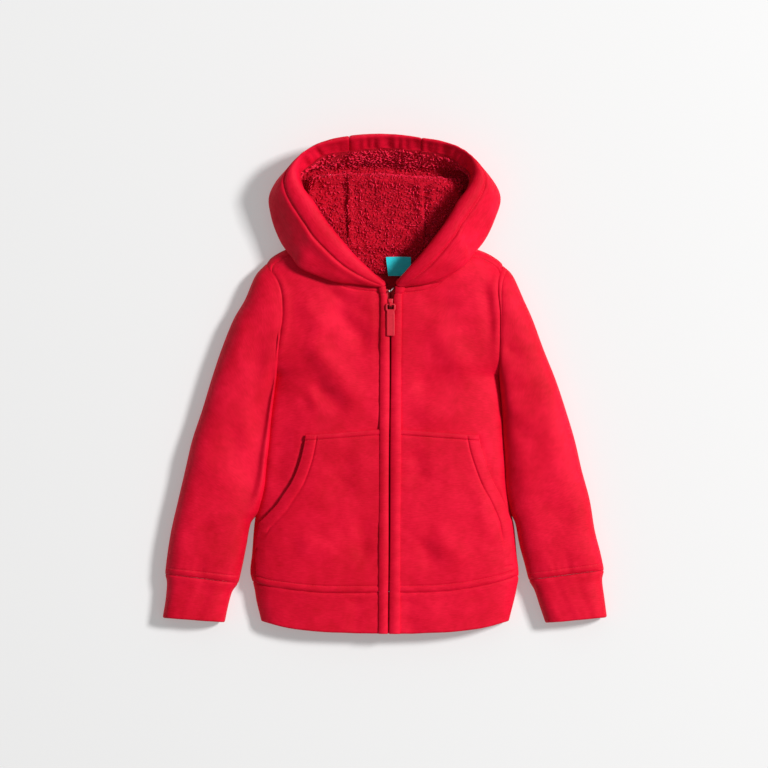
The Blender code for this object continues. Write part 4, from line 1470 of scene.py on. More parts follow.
@dataclass
class Body:
    """Front panels, pockets, back panel and hem band."""

    fleece: float = 2.5
    double: float = 4.4
    pocket_top: float = 36.0
    pocket_slope: float = 6.5
    pocket_lift: float = 2.75
    edge_gap: float = 12.2
    opening_end: float = -75.0
    usual_half: float = 133.0
    flank: tuple = (4.4, 0.8)
    back_neck_y: float = 239.0
    back_neck_dip: float = 14.0
    pocket_hem_line: float = 1.6
    seam: float = 0.12

    def front(self, side: int) -> Cloth:
        """One front panel.

        Args:
            side: Which half of the garment.

        Returns:
            The cloth.
        """
        columns = Lines((0.0, 0.5, 1.1, 2.0, 3.5), stitched(ARM_LINE) + (10.0, 12.5, 16.0, 21.0, 27.0), 44)
        rows = Lines(stitched(SEW_LINE) + (13.0,), stitched(NECK_LINE) + (13.5, 18.0, 24.0, 30.0), 84)
        shares = (self.edge_gap + columns.at(self.usual_half - self.edge_gap)) / self.usual_half
        low = FORM.hem_seam(side, shares) + self.seam
        high = FORM.edge_y(TOP_EDGE, side, shares)
        y = low + rows.at((high - low)[:, None]).T
        half = FORM.half_width(side, y)
        across = np.minimum((self.edge_gap + columns.at(half - self.edge_gap)) / half, 1.0)
        points = FORM.top(side, across, y)
        points[..., 2] += 0.12
        cloth = Cloth("front_panel_" + side_name(side), points, self.fleece, side)
        to_side = (1.0 - across) * half
        sleeve = smooth(FORM.armpit_y + 6.0, FORM.armpit_y + 34.0, y) * smooth(0.0, 20.0, high - y)
        height = body_relief(side, points[..., 0], y) * smooth(0.0, 16.0, to_side)
        height += welt(y - low, SEW_LINE) * smooth(0.0, 6.0, to_side)
        height += welt(high - y, NECK_LINE, 0.5, 0.75, 0.6)
        height += (0.6 * bell(to_side - 5.0, 4.0) - 0.9 * bell(to_side, 1.3)) * sleeve
        beside_arm = smooth(-66.0, -30.0, y) * (1.0 - smooth(FORM.armpit_y - 60.0, FORM.armpit_y, y))
        height += of_side(self.flank, side) * bell(to_side - 6.0, 8.0) * beside_arm
        height -= 0.35 * bell(across * half - self.edge_gap, 1.2)
        if side == LEFT:
            height -= 0.9 * bell(across * half - self.edge_gap - 3.0, 4.2) * smooth(90.0, 140.0, y)
        beside = self.to_opening(side, points[..., 0], y)
        shown = smooth(self.opening_end - 4.0, self.opening_end + 10.0, y)
        shown = shown * smooth(self.pocket_top - self.pocket_slope, self.pocket_top - 12.0, y)
        height -= 1.9 * bell(beside, 2.6) * shown
        cloth.push(height)
        return cloth

    def opening_x(self, side: int, y: Array) -> Array:
        """How far out the pocket's opening runs."""
        return spline(-column(POCKET_OPENING, "y"), column(POCKET_OPENING, side_name(side)), -y)

    def opening(self, side: int) -> Array:
        """The pocket's slanted opening on the ground plan, carried on past the side.

        Args:
            side: Which half of the garment.

        Returns:
            Points along it, from the top.
        """
        y = np.linspace(self.pocket_top, self.opening_end, 60)
        line = np.stack([self.opening_x(side, y), y], axis=-1)
        return np.concatenate([line, line[-1:] + 10.0 * (line[-1:] - line[-3:-2])])

    def to_opening(self, side: int, x: Array, y: Array) -> Array:
        """Distance from the line of the opening."""
        return near_path(self.opening(side), x, y)[0]

    def pocket(self, side: int) -> Cloth:
        """One kangaroo pocket, lying on its front panel.

        Args:
            side: Which half of the garment.

        Returns:
            The cloth.
        """
        columns = Lines((0.0, 0.6, 1.4, 2.6, 4.5), stitched(POCKET_HEM), 58)
        rows = Lines(stitched(SEW_LINE) + (13.0,), stitched(POCKET_TOP_LINE) + (12.0,), 112)
        shares = columns.at(100.0) / 100.0
        low = FORM.hem_seam(side, 0.1 + 0.85 * shares) + self.seam
        high = self.pocket_top - self.pocket_slope * shares
        y = low + rows.at((high - low)[:, None]).T
        outer = np.minimum(np.abs(self.opening_x(side, y) - FORM.zip_x(y)), 0.975 * FORM.half_width(side, y))
        reach = self.edge_gap + columns.at(outer - self.edge_gap)
        across = reach / FORM.half_width(side, y)
        points = FORM.top(side, across, y)
        cloth = Cloth("pocket_panel_" + side_name(side), points, self.fleece * 0.9, side)
        x = points[..., 0]
        inside = self.to_opening(side, x, y)
        free = smooth(self.opening_end - 8.0, self.opening_end + 8.0, y)
        height = self.pocket_lift + 0.8 * smooth(0.3, 0.8, across)
        height += body_relief(side, x, y) * smooth(0.985, 0.86, across)
        height += welt(y - low, SEW_LINE) + 0.25 * ripple(x, y, 6.0, 1.0, 2.0)
        height += welt(high - y, POCKET_TOP_LINE, 0.5, 0.8, 0.2) - 0.45 * bell(high - y - 1.4, 0.7)
        hem = 0.6 * swell(inside / POCKET_HEM)
        hem -= 0.85 * bell(inside - POCKET_HEM, 1.0) + 0.4 * bell(inside - self.pocket_hem_line, 0.7) * free
        height += hem * smooth(0.0, 7.0, high - y)
        height -= 0.7 * bell(outer - reach, 2.5) * (1.0 - free)
        cloth.push(height)
        cloth.roll_edge(np.minimum(outer - reach + 3.0 * (1.0 - free), high - y))
        return cloth

    def sew_opening(self, sewing: Sewing, side: int, cloth: Cloth) -> None:
        """Stitches the turned-in edge of a pocket's opening.

        Args:
            sewing: What collects the stitches.
            side: Which half of the garment.
            cloth: The pocket.
        """
        line = self.opening(side)
        step = np.gradient(line, axis=0)
        step /= np.linalg.norm(step, axis=1, keepdims=True)
        inward = np.stack([-step[:, 1], step[:, 0]], axis=-1) * side
        for offset in (POCKET_HEM, self.pocket_hem_line):
            spots = line[1:-1] + offset * inward[1:-1]
            kept = (spots[:, 1] < self.pocket_top - 8.0) & (
                np.abs(spots[:, 0]) < 0.96 * np.abs(FORM.side_x(side, spots[:, 1])))
            kept &= (spots[:, 1] > self.opening_end - 4.0) | (offset == POCKET_HEM)
            sewing.keep("pocket_topstitching", cloth.sample(*cloth.find(*spots[kept].T)))

    def back(self) -> Cloth:
        """The back panel, flat on the ground.

        Returns:
            The cloth.
        """
        half = np.concatenate([np.linspace(0, 0.84, 34), 1 - np.array(
            (16.0, 13.0, 10.5, 8.5, 6.5, 5.0, 3.6, 2.4, 1.4, 0.7, 0.25, 0.0)) / 130.0])
        signed = np.concatenate([-half[:0:-1], half])
        side = np.where(signed < 0, LEFT, RIGHT)
        share = np.abs(signed)
        low = FORM.hem_seam(side, share) + self.seam
        neck = self.back_neck_y + self.back_neck_dip * (share / FORM.side_neck) ** 2
        high = np.where(share < FORM.side_neck, neck, FORM.edge_y(TOP_EDGE, side, share))
        rows = Lines(stitched(SEW_LINE), stitched() + (4.0, 6.0, 8.0, 10.0, 12.5), 70)
        y = low + rows.at((high - low)[:, None]).T
        sides, across = np.broadcast_to(side, y.shape), np.broadcast_to(share, y.shape)
        points = FORM.under(sides, across, y)
        points[..., 2] = np.minimum(points[..., 2], FORM.side_z - 0.12)
        cloth = Cloth("back_cloth", points, self.fleece, -1)
        to_side = (1.0 - across) * FORM.half_width(sides, y)
        height = folded(BACK_FOLDS, points[..., 0], y) * smooth(2.0, 24.0, to_side)
        height += np.minimum(welt(y - low, SEW_LINE, 0.0), 0.0) * smooth(0.0, 10.0, to_side)
        height -= 0.8 * bell(to_side, 1.6)
        cloth.push(height)
        return cloth

    def band(self) -> Cloth:
        """The hem band, from one front edge round the back to the other.

        Returns:
            The cloth.
        """
        top = np.concatenate([(0.0, 0.004, 0.009, 0.02), np.linspace(0.05, 0.88, 56),
                              1 - np.array((13.0, 10.5, 8.5, 6.5, 4.8, 3.4, 2.2, 1.2, 0.5, 0.0)) / 130])
        under = np.linspace(-1, 1, 70)
        under = np.sign(under) * (1 - (1 - np.abs(under)) ** 1.7)
        signed = np.concatenate([-top, under[1:-1], top[::-1]])
        above = np.concatenate([np.ones(len(top)), np.zeros(len(under) - 2), np.ones(len(top))]) > 0
        side = np.concatenate([np.full(len(top), LEFT), np.where(under[1:-1] < 0, LEFT, RIGHT),
                               np.full(len(top), RIGHT)])
        raw = np.abs(signed)
        least = self.edge_gap / 145.0
        share = np.where(above, least + raw * (1.0 - least), raw)
        low = FORM.edge_y(HEM_EDGE, side, share)
        high = FORM.hem_seam(side, share) - self.seam
        rows = Lines((0.0, 0.25, 0.6, 1.0, 1.5, 2.1, 3.0), stitched() + (4.0,), 20)
        y = low + rows.at((high - low)[:, None]).T
        sides = np.broadcast_to(side, y.shape)
        half = FORM.half_width(sides, y)
        start = self.edge_gap / half
        across = np.where(above, start + raw * (1.0 - start), raw)
        over = FORM.top(sides, across, y)
        over[..., 2] += 2.1 * smooth(1.0, 0.9, across)
        points = np.where(above[None, :, None], over, FORM.under(sides, across, y))
        cloth = Cloth("hem_band_cloth", points, self.double, -1)
        height = np.where(above, folded(BAND_FOLDS, points[..., 0], y), 0.0)
        height += ripple(points[..., 0], y, 11.0, 0.2, 4.0) * above
        height -= 0.95 * bell(high - y, 1.5) * np.where(above, 1.0, 0.4)
        height += 0.35 * bell(high - y - 5.0, 4.0) * above
        cloth.push(height)
        cloth.roll_edge(y - low)
        return cloth

    def build(self, sewing: Sewing) -> None:
        """Args:
            sewing: What collects the stitches.
        """
        sheet(self.back(), "back_panel")
        sheet(self.band(), "hem_band")
        for side in (LEFT, RIGHT):
            tag = side_name(side)
            front, pocket = self.front(side), self.pocket(side)
            sheet(front, "front_" + tag)
            sewing.below_top("body_topstitching", front, NECK_LINE, 0.04, 0.97)
            sheet(pocket, "pocket_" + tag)
            sewing.along_row("pocket_topstitching", pocket, stitched(SEW_LINE).index(SEW_LINE), 0.02)
            sewing.below_top("pocket_topstitching", pocket, POCKET_TOP_LINE, 0.01, 0.99)
            sewing.along_row("pocket_topstitching", pocket, pocket.points.shape[0] - 4, 0.01, 0.99)
            self.sew_opening(sewing, side, pocket)


# ==== front edges ====
@dataclass
class FrontEdges:
    """The doubled strips sewn down both front edges, over the zip's tapes."""

    double: float = 4.4
    low: float = -203.6
    high: float = 203.6
    dome: float = 1.9
    gap: float = 0.3
    slider_gap: float = 3.0
    widths: tuple = (12.6, 13.7)
    cap_flares: tuple = (2.4, 3.6)
    pocket_top: float = 36.0
    pocket_line: float = 29.0
    band_seam: float = -154.6
    slider_zone: tuple = (165.0, 172.0)
    neck_zone: tuple = (189.0, 199.0)
    layers: float = 2.3
    cap_line: float = 9.3

    def raised(self, y: Array) -> Array:
        """How far the strips are lifted by the layers that they are sewn over."""
        return self.layers * (1.0 - smooth(self.pocket_top - 8.0, self.pocket_top + 24.0, y))

    def strip(self, side: int) -> Cloth:
        """One strip, from the hem to the neck.

        Args:
            side: Which half of the garment.

        Returns:
            The cloth.
        """
        edge = (0.0, 0.3, 0.7, 1.2, 1.8, 2.6)
        rows = Lines(edge, stitched(self.cap_line) + (14.0,), 150)
        y = self.low + rows.at(self.high - self.low)[:, None]
        inner = self.gap + (self.slider_gap - self.gap) * smooth(*self.slider_zone, y)
        inner = inner + 1.9 * smooth(*self.neck_zone, y)
        cap = smooth(self.high - self.cap_line - 4.0, self.high - 2.0, y)
        outer = of_side(self.widths, side) + of_side(self.cap_flares, side) * cap
        reach = inner + Lines(edge, edge, 9).at(outer - inner)
        share = (reach - inner) / (outer - inner)
        points = FORM.top(side, reach / FORM.half_width(side, y), y)
        dome = self.dome * (1.0 - (2.0 * share - 1.0) ** 2)
        points[..., 2] += self.raised(y) + dome + 0.75 + 1.2 * cap
        cloth = Cloth("front_edge_cloth_" + side_name(side), points, self.double, side)
        pucker = np.sin(y / 2.1 + 2.2 * np.sin(y / 13.0 + side) + 1.3 * share)
        pucker += 0.7 * np.sin(y / 3.7 + 1.9 * np.sin(y / 19.0) - 2.0 * side)
        height = 0.1 * pucker * (0.35 + share) + 0.35 * np.sin(y / 31.0 + side)
        height -= 0.55 * bell(self.high - y - self.cap_line, 1.0)
        height -= 0.45 * bell(y - self.pocket_top + 1.2, 0.9) + 0.35 * bell(y - self.pocket_line, 0.9)
        height -= 0.3 * bell(y - self.band_seam, 1.2)
        cloth.push(height)
        to_edge = np.minimum(np.minimum(reach - inner, outer - reach),
                             np.minimum(self.high - y, y - self.low))
        cloth.roll_edge(to_edge, 1.2)
        return cloth

    def build(self, sewing: Sewing) -> None:
        """Makes, declares and sews both strips.

        Args:
            sewing: What collects the stitches.
        """
        for side in (LEFT, RIGHT):
            cloth, tag = self.strip(side), side_name(side)
            sheet(cloth, "front_edge_" + tag, floor=False)
            sewing.below_top("body_topstitching", cloth, self.cap_line, 0.16, 0.9)


# ==== sleeves and cuffs ====
SLEEVE_FOLDS = {
    LEFT: (
        Fold(((-151, 168), (-154, 92), (-158, 6)), 11.0, -2.0),
        Fold(((-184, 54), (-177, 8), (-168, -36)), 12.0, -1.7),
        Fold(((-167, 172), (-176, 140), (-185, 104)), 8.0, 1.3),
        Fold(((-234, 24), (-212, -8), (-186, -26)), 13.0, 1.1),
        Fold(((-206, -66), (-224, -84), (-248, -92)), 11.0, -1.2),
        Fold(((-216, -104), (-222, -124), (-224, -142)), 7.0, -0.9),
        Fold(((-240, -100), (-246, -120), (-247, -138)), 6.0, 0.7),
    ),
    RIGHT: (
        Fold(((133, 133), (144, 127), (154, 118)), 6.0, -1.4),
        Fold(((133, 58), (147, 40), (164, 16)), 11.0, -2.2),
        Fold(((134, 112), (150, 101), (170, 88)), 11.0, 1.6),
        Fold(((188, 66), (190, 6), (208, -58)), 14.0, 1.0),
        Fold(((164, -38), (190, -58), (222, -70)), 12.0, -1.1),
        Fold(((206, -100), (208, -122), (214, -140)), 7.0, -0.9),
        Fold(((182, -108), (186, -126), (188, -138)), 6.0, 0.7),
    ),
}
UNDERARM_FOLDS = {
    LEFT: (
        Fold(((-150, 90), (-176, 66), (-214, 60)), 12.0, -1.2),
        Fold(((-170, -20), (-196, -40), (-232, -34)), 12.0, -1.0),
        Fold(((-190, -96), (-216, -112), (-246, -110)), 10.0, -0.9),
    ),
    RIGHT: (
        Fold(((140, 96), (166, 74), (198, 72)), 12.0, -1.2),
        Fold(((150, -10), (180, -34), (216, -30)), 12.0, -1.0),
        Fold(((176, -92), (204, -106), (236, -104)), 10.0, -0.9),
    ),
}


@dataclass
class Sleeves:
    """Both sleeves, and the doubled cuffs sewn to them."""

    fleece: float = 2.5
    double: float = 4.4
    seam: float = 0.12
    tucks: tuple = (3.2, 1.3)
    dips: tuple = (0.0, 0.30)
    trough: tuple = (7.0, 17.0, 8.0, 20.0)
    dip_width: float = 19.0
    armhole_gap: float = 0.1
    square: float = 10.0
    bow_fade: tuple = (1.0, 0.55, 0.25, 0.08)
    half_width: float = 47.0
    crown: float = 22.0
    beside_trunk: tuple = (-74.0, -58.0)
    pressed_from: tuple = (-78.0, -34.0)
    samples: int = 400
    top_columns: int = 54
    under_columns: int = 38

    def around(self) -> tuple[Array, Array]:
        """Grid columns: place from inner to outer edge, and whether on top.

        Returns:
            Places from -1 to 1, and whether each is on top.
        """
        c = np.sin(np.linspace(0.0, np.pi / 2, self.samples))
        fine = np.concatenate([-(1.0 - c * c) ** 0.25, ((1.0 - c * c) ** 0.25)[-2::-1]])
        fine = np.sort(fine)
        rise = self.crown * np.sqrt(1.0 - fine**4)
        run = run_length(np.hypot(self.half_width * np.diff(fine), np.diff(rise)))
        over = np.interp(np.linspace(0.0, run[-1], self.top_columns + 1), run, fine)
        base = FORM.side_z * FORM.curl((1.0 - np.abs(fine)) * self.half_width)
        run = run_length(np.hypot(self.half_width * np.diff(fine), np.diff(base)))
        below = np.interp(np.linspace(0.0, run[-1], self.under_columns + 1), run, fine)[::-1]
        t = np.concatenate([over, below[1:]])
        return np.clip(t, -1.0, 1.0), np.arange(len(t)) <= self.top_columns

    def edge_lines(self, arms: Sequence[Arm], at: Array) -> tuple[Array, Array, Array]:
        """Outer edge, inner edge and height at these places along the arm.

        Args:
            arms: The arm's sections.
            at: Places, counted in sections.

        Returns:
            Outer points, inner points and heights.
        """
        knots = np.arange(len(arms))
        values = np.array([tuple(arm) for arm in arms])
        sections = spline(knots, values, at)
        return sections[:, 0:2], sections[:, 2:4], sections[:, 4]

    def tube(self, side: int, arms: Sequence[Arm], is_sleeve: bool, lines: Lines) -> tuple:
        """The outer surface of a sleeve or cuff.

        Args:
            side: Which arm.
            arms: Its sections.
            is_sleeve: True for a sleeve, whose top end is the armhole.
            lines: Grid lines along it.

        Returns:
            Points, distances from both ends, places across and whether on top.
        """
        knots = np.arange(len(arms))
        fine = np.linspace(0.0, len(arms) - 1.0, 2 * self.samples)
        outer, inner, _ = self.edge_lines(arms, fine)
        middle = (outer + inner) / 2.0
        run = run_length(np.linalg.norm(np.diff(middle, axis=0), axis=1))
        marks = lines.at(run[-1])
        at = np.interp(marks, run, fine)
        outer, inner, height = self.edge_lines(arms, at)
        if is_sleeve:
            limit = FORM.side_x(side, inner[:, 1]) - side * of_side(self.tucks, side)
            beside = smooth(*self.beside_trunk, inner[:, 1]) * smooth(0.0, 0.25, at)
            inner[:, 0] += (limit - inner[:, 0]) * beside
        t, above = self.around()
        share = (t + 1.0) / 2.0
        flat = inner[:, None, :] + (outer - inner)[:, None, :] * share[None, :, None]
        x, y = flat[..., 0], flat[..., 1]
        fall = oval(t)[None, :] * np.ones_like(x)
        width = np.linalg.norm(outer - inner, axis=1)[:, None]
        rise = FORM.curl((1.0 - np.abs(t))[None, :] * width / 2.0)
        if is_sleeve:
            seam_y = FORM.armpit_y + (FORM.tip(side) - FORM.armpit_y) * share
            chord = arms[0].inner_x + (arms[0].outer_x - arms[0].inner_x) * share
            bow = FORM.side_x(side, seam_y) + side * self.armhole_gap - chord
            fade = np.zeros(len(arms))
            fade[:len(self.bow_fade)] = self.bow_fade
            x = x + bow[None, :] * spline(knots, fade, at)[:, None]
            fall = fall * (FORM.armhole_dip + (1.0 - FORM.armhole_dip) * smooth(0.0, 0.8, at)[:, None])
            pit = FORM.armpit_rise((1.0 + t)[None, :] * width / 2.0)
            eased = pit + (rise - pit) * smooth(0.0, 1.0, at)[:, None]
            rise = np.where(t[None, :] < 0.0, eased, rise)
            beside = smooth(*self.pressed_from, inner[:, 1]) * smooth(0.0, 1.6, at)
            dip = of_side(self.dips, side) * beside[:, None]
            fall = fall * (1.0 - dip * bell(share[None, :] * width, self.dip_width))
            if side == LEFT:
                full = oval(t, self.square)[None, :]
                fall = fall + (full - fall) * beside[:, None] * (t < 0.0)[None, :]
        z_top = FORM.side_z + (height[:, None] - FORM.side_z) * fall
        if is_sleeve and side == LEFT:
            deep, place_in, steep, gentle = self.trough
            away = share[None, :] * width - place_in
            valley = bell(away, np.where(away < 0.0, steep, gentle)) * smooth(0.0, 0.3, fall)
            z_top = z_top - deep * beside[:, None] * valley
        z = np.where(above[None, :], z_top, FORM.side_z * rise)
        near, far = marks[:, None], (run[-1] - marks)[:, None]
        return xyz(x, y, z), near, far, t[None, :], above[None, :]

    def sleeve(self, side: int) -> Cloth:
        """One sleeve.

        Args:
            side: Which half of the garment.

        Returns:
            The cloth.
        """
        lines = Lines(stitched(ARM_LINE) + (10.0,), stitched(SEW_LINE) + (12.0,), 92)
        points, near, far, t, above = self.tube(side, SLEEVES[side], True, lines)
        under_arm = np.clip(1.0 - (1.0 + t) / 0.32, 0.0, 1.0) * (1.0 - smooth(0.0, 110.0, near))
        cloth = Cloth("sleeve_cloth_" + side_name(side), points, self.fleece * (1 - 0.55 * under_arm),
                      -side, loop=True)
        x, y = points[..., 0], points[..., 1]
        flank = oval(t)
        over = folded(SLEEVE_FOLDS[side], x, y) + ripple(x, y, 13.0, 0.3, 3.0 + side)
        below = folded(UNDERARM_FOLDS[side], x, y)
        height = np.where(above, over, below) * flank
        ends = np.where(above, 1.0, 0.0) * flank
        height = height + (0.9 * bell(far - 5.0, 5.0) - 0.9 * bell(far, 1.4)) * ends
        height = height - 0.6 * bell(far - SEW_LINE, 1.0) * ends - 0.4 * bell(far, 2.0) * (1 - ends)
        sewn = smooth(0.0, 0.6, t) * (side == RIGHT)
        height = height + 0.35 * swell(near / ARM_LINE) * ends * sewn
        sunk = 0.9 * smooth(-0.9, -0.3, t) * bell(near, 1.3)
        height = height - (sunk + 0.45 * sewn * bell(near - ARM_LINE, 1.0)) * ends
        pucker = np.sin(27.0 * t + 2.0 * np.sin(5.0 * t + side)) * bell(far - 9.0, 7.0) * ends
        cloth.push(height + 0.15 * pucker)
        return cloth

    def cuff(self, side: int) -> Cloth:
        """One cuff.

        Args:
            side: Which half of the garment.

        Returns:
            The cloth.
        """
        lines = Lines((0.0, 0.4, 0.9, 1.6, 2.6), (0.0, 0.25, 0.6, 1.0, 1.5, 2.1, 3.0), 15)
        points, near, far, t, above = self.tube(side, CUFFS[side], False, lines)
        cloth = Cloth("cuff_cloth_" + side_name(side), points, self.double, -side, loop=True)
        flank = oval(t)
        soft = 0.3 * np.sin(9.0 * t + 0.8 * side + 1.1 * np.sin(near / 14.0))
        soft = soft + 0.07 * np.sin(21.0 * t - near / 9.0)
        height = np.where(above, soft, 0.0) * flank - bell(near, 1.4) + 0.3 * bell(near - 5.0, 3.5)
        cloth.push(height)
        cloth.roll_edge(far + np.zeros_like(points[..., 0]))
        return cloth

    def build(self, sewing: Sewing) -> None:
        """Makes, declares and sews sleeves and cuffs.

        Args:
            sewing: What collects the stitches.
        """
        for side in (LEFT, RIGHT):
            sleeve = self.sleeve(side)
            sheet(sleeve, "sleeve_" + side_name(side))
            sheet(self.cuff(side), "cuff_" + side_name(side))
            over = self.top_columns / (self.top_columns + self.under_columns)
            sewing.below_top("sleeve_topstitching", sleeve, SEW_LINE, 0.03, over - 0.03)
            if side == RIGHT:
                row = stitched(ARM_LINE).index(ARM_LINE)
                sewing.along_row("sleeve_topstitching", sleeve, row, 0.6 * over, over - 0.05)


# ==== hood ====
HOOD_FOLDS = {
    LEFT: (
        Fold(((-72, 226), (-94, 244), (-112, 268)), 6.0, -1.1),
        Fold(((-118, 262), (-128, 280), (-130, 300)), 6.0, -0.9),
        Fold(((-40, 210), (-60, 214), (-80, 222)), 5.0, 0.8),
        Fold(((-134, 300), (-128, 318), (-118, 336)), 6.0, 0.8),
    ),
    RIGHT: (
        Fold(((52, 214), (76, 228), (96, 250)), 7.0, 1.0),
        Fold(((100, 258), (112, 276), (118, 296)), 6.0, -1.0),
        Fold(((40, 212), (58, 220), (72, 230)), 5.0, -0.9),
        Fold(((122, 300), (114, 318), (104, 334)), 6.0, 0.8),
    ),
}


def on_side(point: Sequence[float], side: int, ease: tuple = (0.0, 0.0)) -> tuple:
    """A point of the left half, or its partner on the right half.

    Args:
        point: A point of the left half.
        side: Which half of the garment.
        ease: How far to shift it on the right half.

    Returns:
        The point's coordinates.
    """
    x, y, z = point
    if side == LEFT:
        return x, y, z
    marks = np.array(HOOD_MIDDLE, float)
    return 2.0 * float(spline(marks[:, 0], marks[:, 1], np.array(y))) - x + ease[0], y + ease[1], z


@dataclass
class Hood:
    """The hood's shell: two sides and a centre panel, their edge turned in and stitched."""

    fleece: float = 2.5
    bulge: float = 3.4
    neck_bow: float = 4.4
    seam: float = 0.12
    groove_depth: float = 1.5
    gather_y: float = 352.0

    def controls(self, side: int, at: Array) -> Array:
        """Control points of the ribs at these places: columns, controls, coordinates.

        Args:
            side: Which half of the garment.
            at: Places, counted in ribs.

        Returns:
            Columns, controls and coordinates.
        """
        knots = np.arange(len(HOOD))
        made = []
        for name in ("hem", "edge", "crest", "roll", "foot", "neck"):
            share = HOOD_EASE.get(name, 0.0)
            rows = [on_side(getattr(rib, name), side, (rib.ease[0] * share, rib.ease[1] * share))
                    for rib in HOOD]
            made.append(spline(knots, np.array(rows), at))
        return np.stack(made, axis=1)

    def over_body(self, points: Array) -> Array:
        """Lifts points that lie over the front panels clear of them.

        Args:
            points: Points of the shell.

        Returns:
            The lifted points.
        """
        x, y, z = points[..., 0], points[..., 1], points[..., 2]
        side = np.where(x < FORM.zip_x(y), LEFT, RIGHT)
        across = (x - FORM.zip_x(y)) / (FORM.side_x(side, y) - FORM.zip_x(y))
        inside = (across < 1.0) & (y < FORM.edge_y(TOP_EDGE, side, np.maximum(across, 0.09)) + 1.0)
        clear = 0.9 + 1.6 * smooth(0.4, 0.6, across)
        floor = np.where(inside, FORM.top_z(side, across, y) + clear, 0.0)
        return xyz(x, y, np.maximum(np.maximum(z, floor), 0.0))

    def rows_down(self) -> Array:
        """Grid rows from the facing's end, over the edge, down to the neck seam.

        Returns:
            Shares of the way, one for each row.
        """
        groove = HOOD_KNOTS[2]
        return np.concatenate([
            np.linspace(0.0, groove - 0.022, 34),
            groove + np.array((-0.016, -0.011, -0.007, -0.003, 0.0, 0.003, 0.007, 0.011, 0.016)),
            np.linspace(groove + 0.022, 0.62, 34),
            np.linspace(0.63, 1.0, 18),
        ])

    def relief(self, points: Array, v: Array, along: Array, seed: float) -> tuple[Array, Array]:
        """Puffed edge, stitched groove and gathers.

        Args:
            points: The shell's points.
            v: Share of the way from facing to neck, for each row.
            along: Length along the hood's edge, for each column.
            seed: Varies the gathers.

        Returns:
            Heights, and distances from the groove.
        """
        run = run_length(np.linalg.norm(np.diff(points, axis=0), axis=-1))
        line = run[int(np.argmin(np.abs(v - HOOD_KNOTS[2])))]
        distance = run - line[None, :]
        v = v[:, None]
        tube = (v - 0.10) / (HOOD_KNOTS[2] - 0.10)
        groove = self.groove_depth * (0.25 + 0.75 * smooth(10.0, 50.0, along))[None, :]
        height = swell(tube) - groove * bell(distance, 1.5)
        height = height + 0.5 * swell(distance / 9.0)
        wave = np.sin(along / 1.9 + 1.6 * np.sin(along / 6.5 + seed)) * (1.0 + 0.5 * np.sin(along / 23.0))
        slow = np.sin(along / 4.3 + 1.2 * np.sin(along / 11.0 - seed))
        gathers = 0.45 * wave + 0.55 * slow
        inner = smooth(0.17, 0.06, v) * smooth(-0.02, 0.03, v)
        high = smooth(self.gather_y - 40.0, self.gather_y, points[..., 1])
        strength = (1.3 * inner + 0.35 * bell(distance + 4.0, 7.0)) * high
        return height + gathers[None, :] * strength, distance

    def side_panel(self, side: int) -> Cloth:
        """One side of the shell.

        Args:
            side: Which half of the garment.

        Returns:
            The cloth.
        """
        at = np.concatenate([np.linspace(0.0, 10.9, 92), (10.94, 10.97, 11.0)])
        v = self.rows_down()
        controls = self.controls(side, at)
        points = spline(HOOD_KNOTS, np.moveaxis(controls, 1, 0), v)
        points = self.over_body(points)
        u = (at / (len(HOOD) - 1))[None, :]
        fold = 0.7 * bell(v[:, None] - 0.22, 0.11)
        neck = 0.6 * smooth(0.42, 0.6, v[:, None]) * (1.0 - smooth(0.5, 0.64, u))
        cloth = Cloth("hood_shell_" + side_name(side), points,
                      self.fleece * (1.0 - np.maximum(fold, neck)), -side)
        edge = points[int(np.argmin(np.abs(v - HOOD_KNOTS[1])))]
        along = run_length(np.linalg.norm(np.diff(edge, axis=0), axis=1))
        height, distance = self.relief(points, v, along, 1.0 + side)
        to_seam = along[-1] - along
        height -= (0.9 * bell(to_seam, 1.3))[None, :]
        x, y = points[..., 0], points[..., 1]
        outside = smooth(0.0, 8.0, distance)
        height += (folded(HOOD_FOLDS[side], x, y) + ripple(x, y, 9.0, 0.3, 5.0)) * outside
        height *= smooth(0.0, 7.0, along)[None, :] * smooth(1.0, 0.9, v)[:, None]
        cloth.push(height)
        cloth.points = self.over_body(cloth.points)
        return cloth

    def centre_panel(self) -> Cloth:
        """The centre panel, between the sides.

        Returns:
            The cloth.
        """
        v = self.rows_down()
        last = np.array([len(HOOD) - 1.0])
        left, right = (spline(HOOD_KNOTS, self.controls(side, last)[0], v)[:, None, :]
                       for side in (LEFT, RIGHT))
        u = np.concatenate([(0.0, 0.008, 0.02), np.linspace(0.04, 0.96, 40), (0.98, 0.992, 1.0)])
        gap = np.array((2 * self.seam, 0.0, 0.0))
        points = left + gap + (right - left - 2 * gap) * u[None, :, None]
        bow = (1.0 - (2.0 * u - 1.0) ** 2)[None, :]
        tall = v[:, None]
        points[..., 1] += self.bulge * bow * (1.0 - smooth(0.4, 0.7, tall))
        points[..., 1] -= self.neck_bow * bow * smooth(0.7, 1.0, tall)
        points[..., 2] = np.maximum(points[..., 2], 0.0)
        cloth = Cloth("hood_shell_centre", points, self.fleece * (1 - 0.7 * bell(tall - 0.22, 0.11)), 1)
        width = float(np.linalg.norm(right[0] - left[0]))
        height, _ = self.relief(points, v, u * width, 3.0)
        height -= (0.9 * (bell(u * width, 1.3) + bell((1.0 - u) * width, 1.3)))[None, :]
        height *= smooth(1.0, 0.9, tall)
        cloth.push(height)
        return cloth

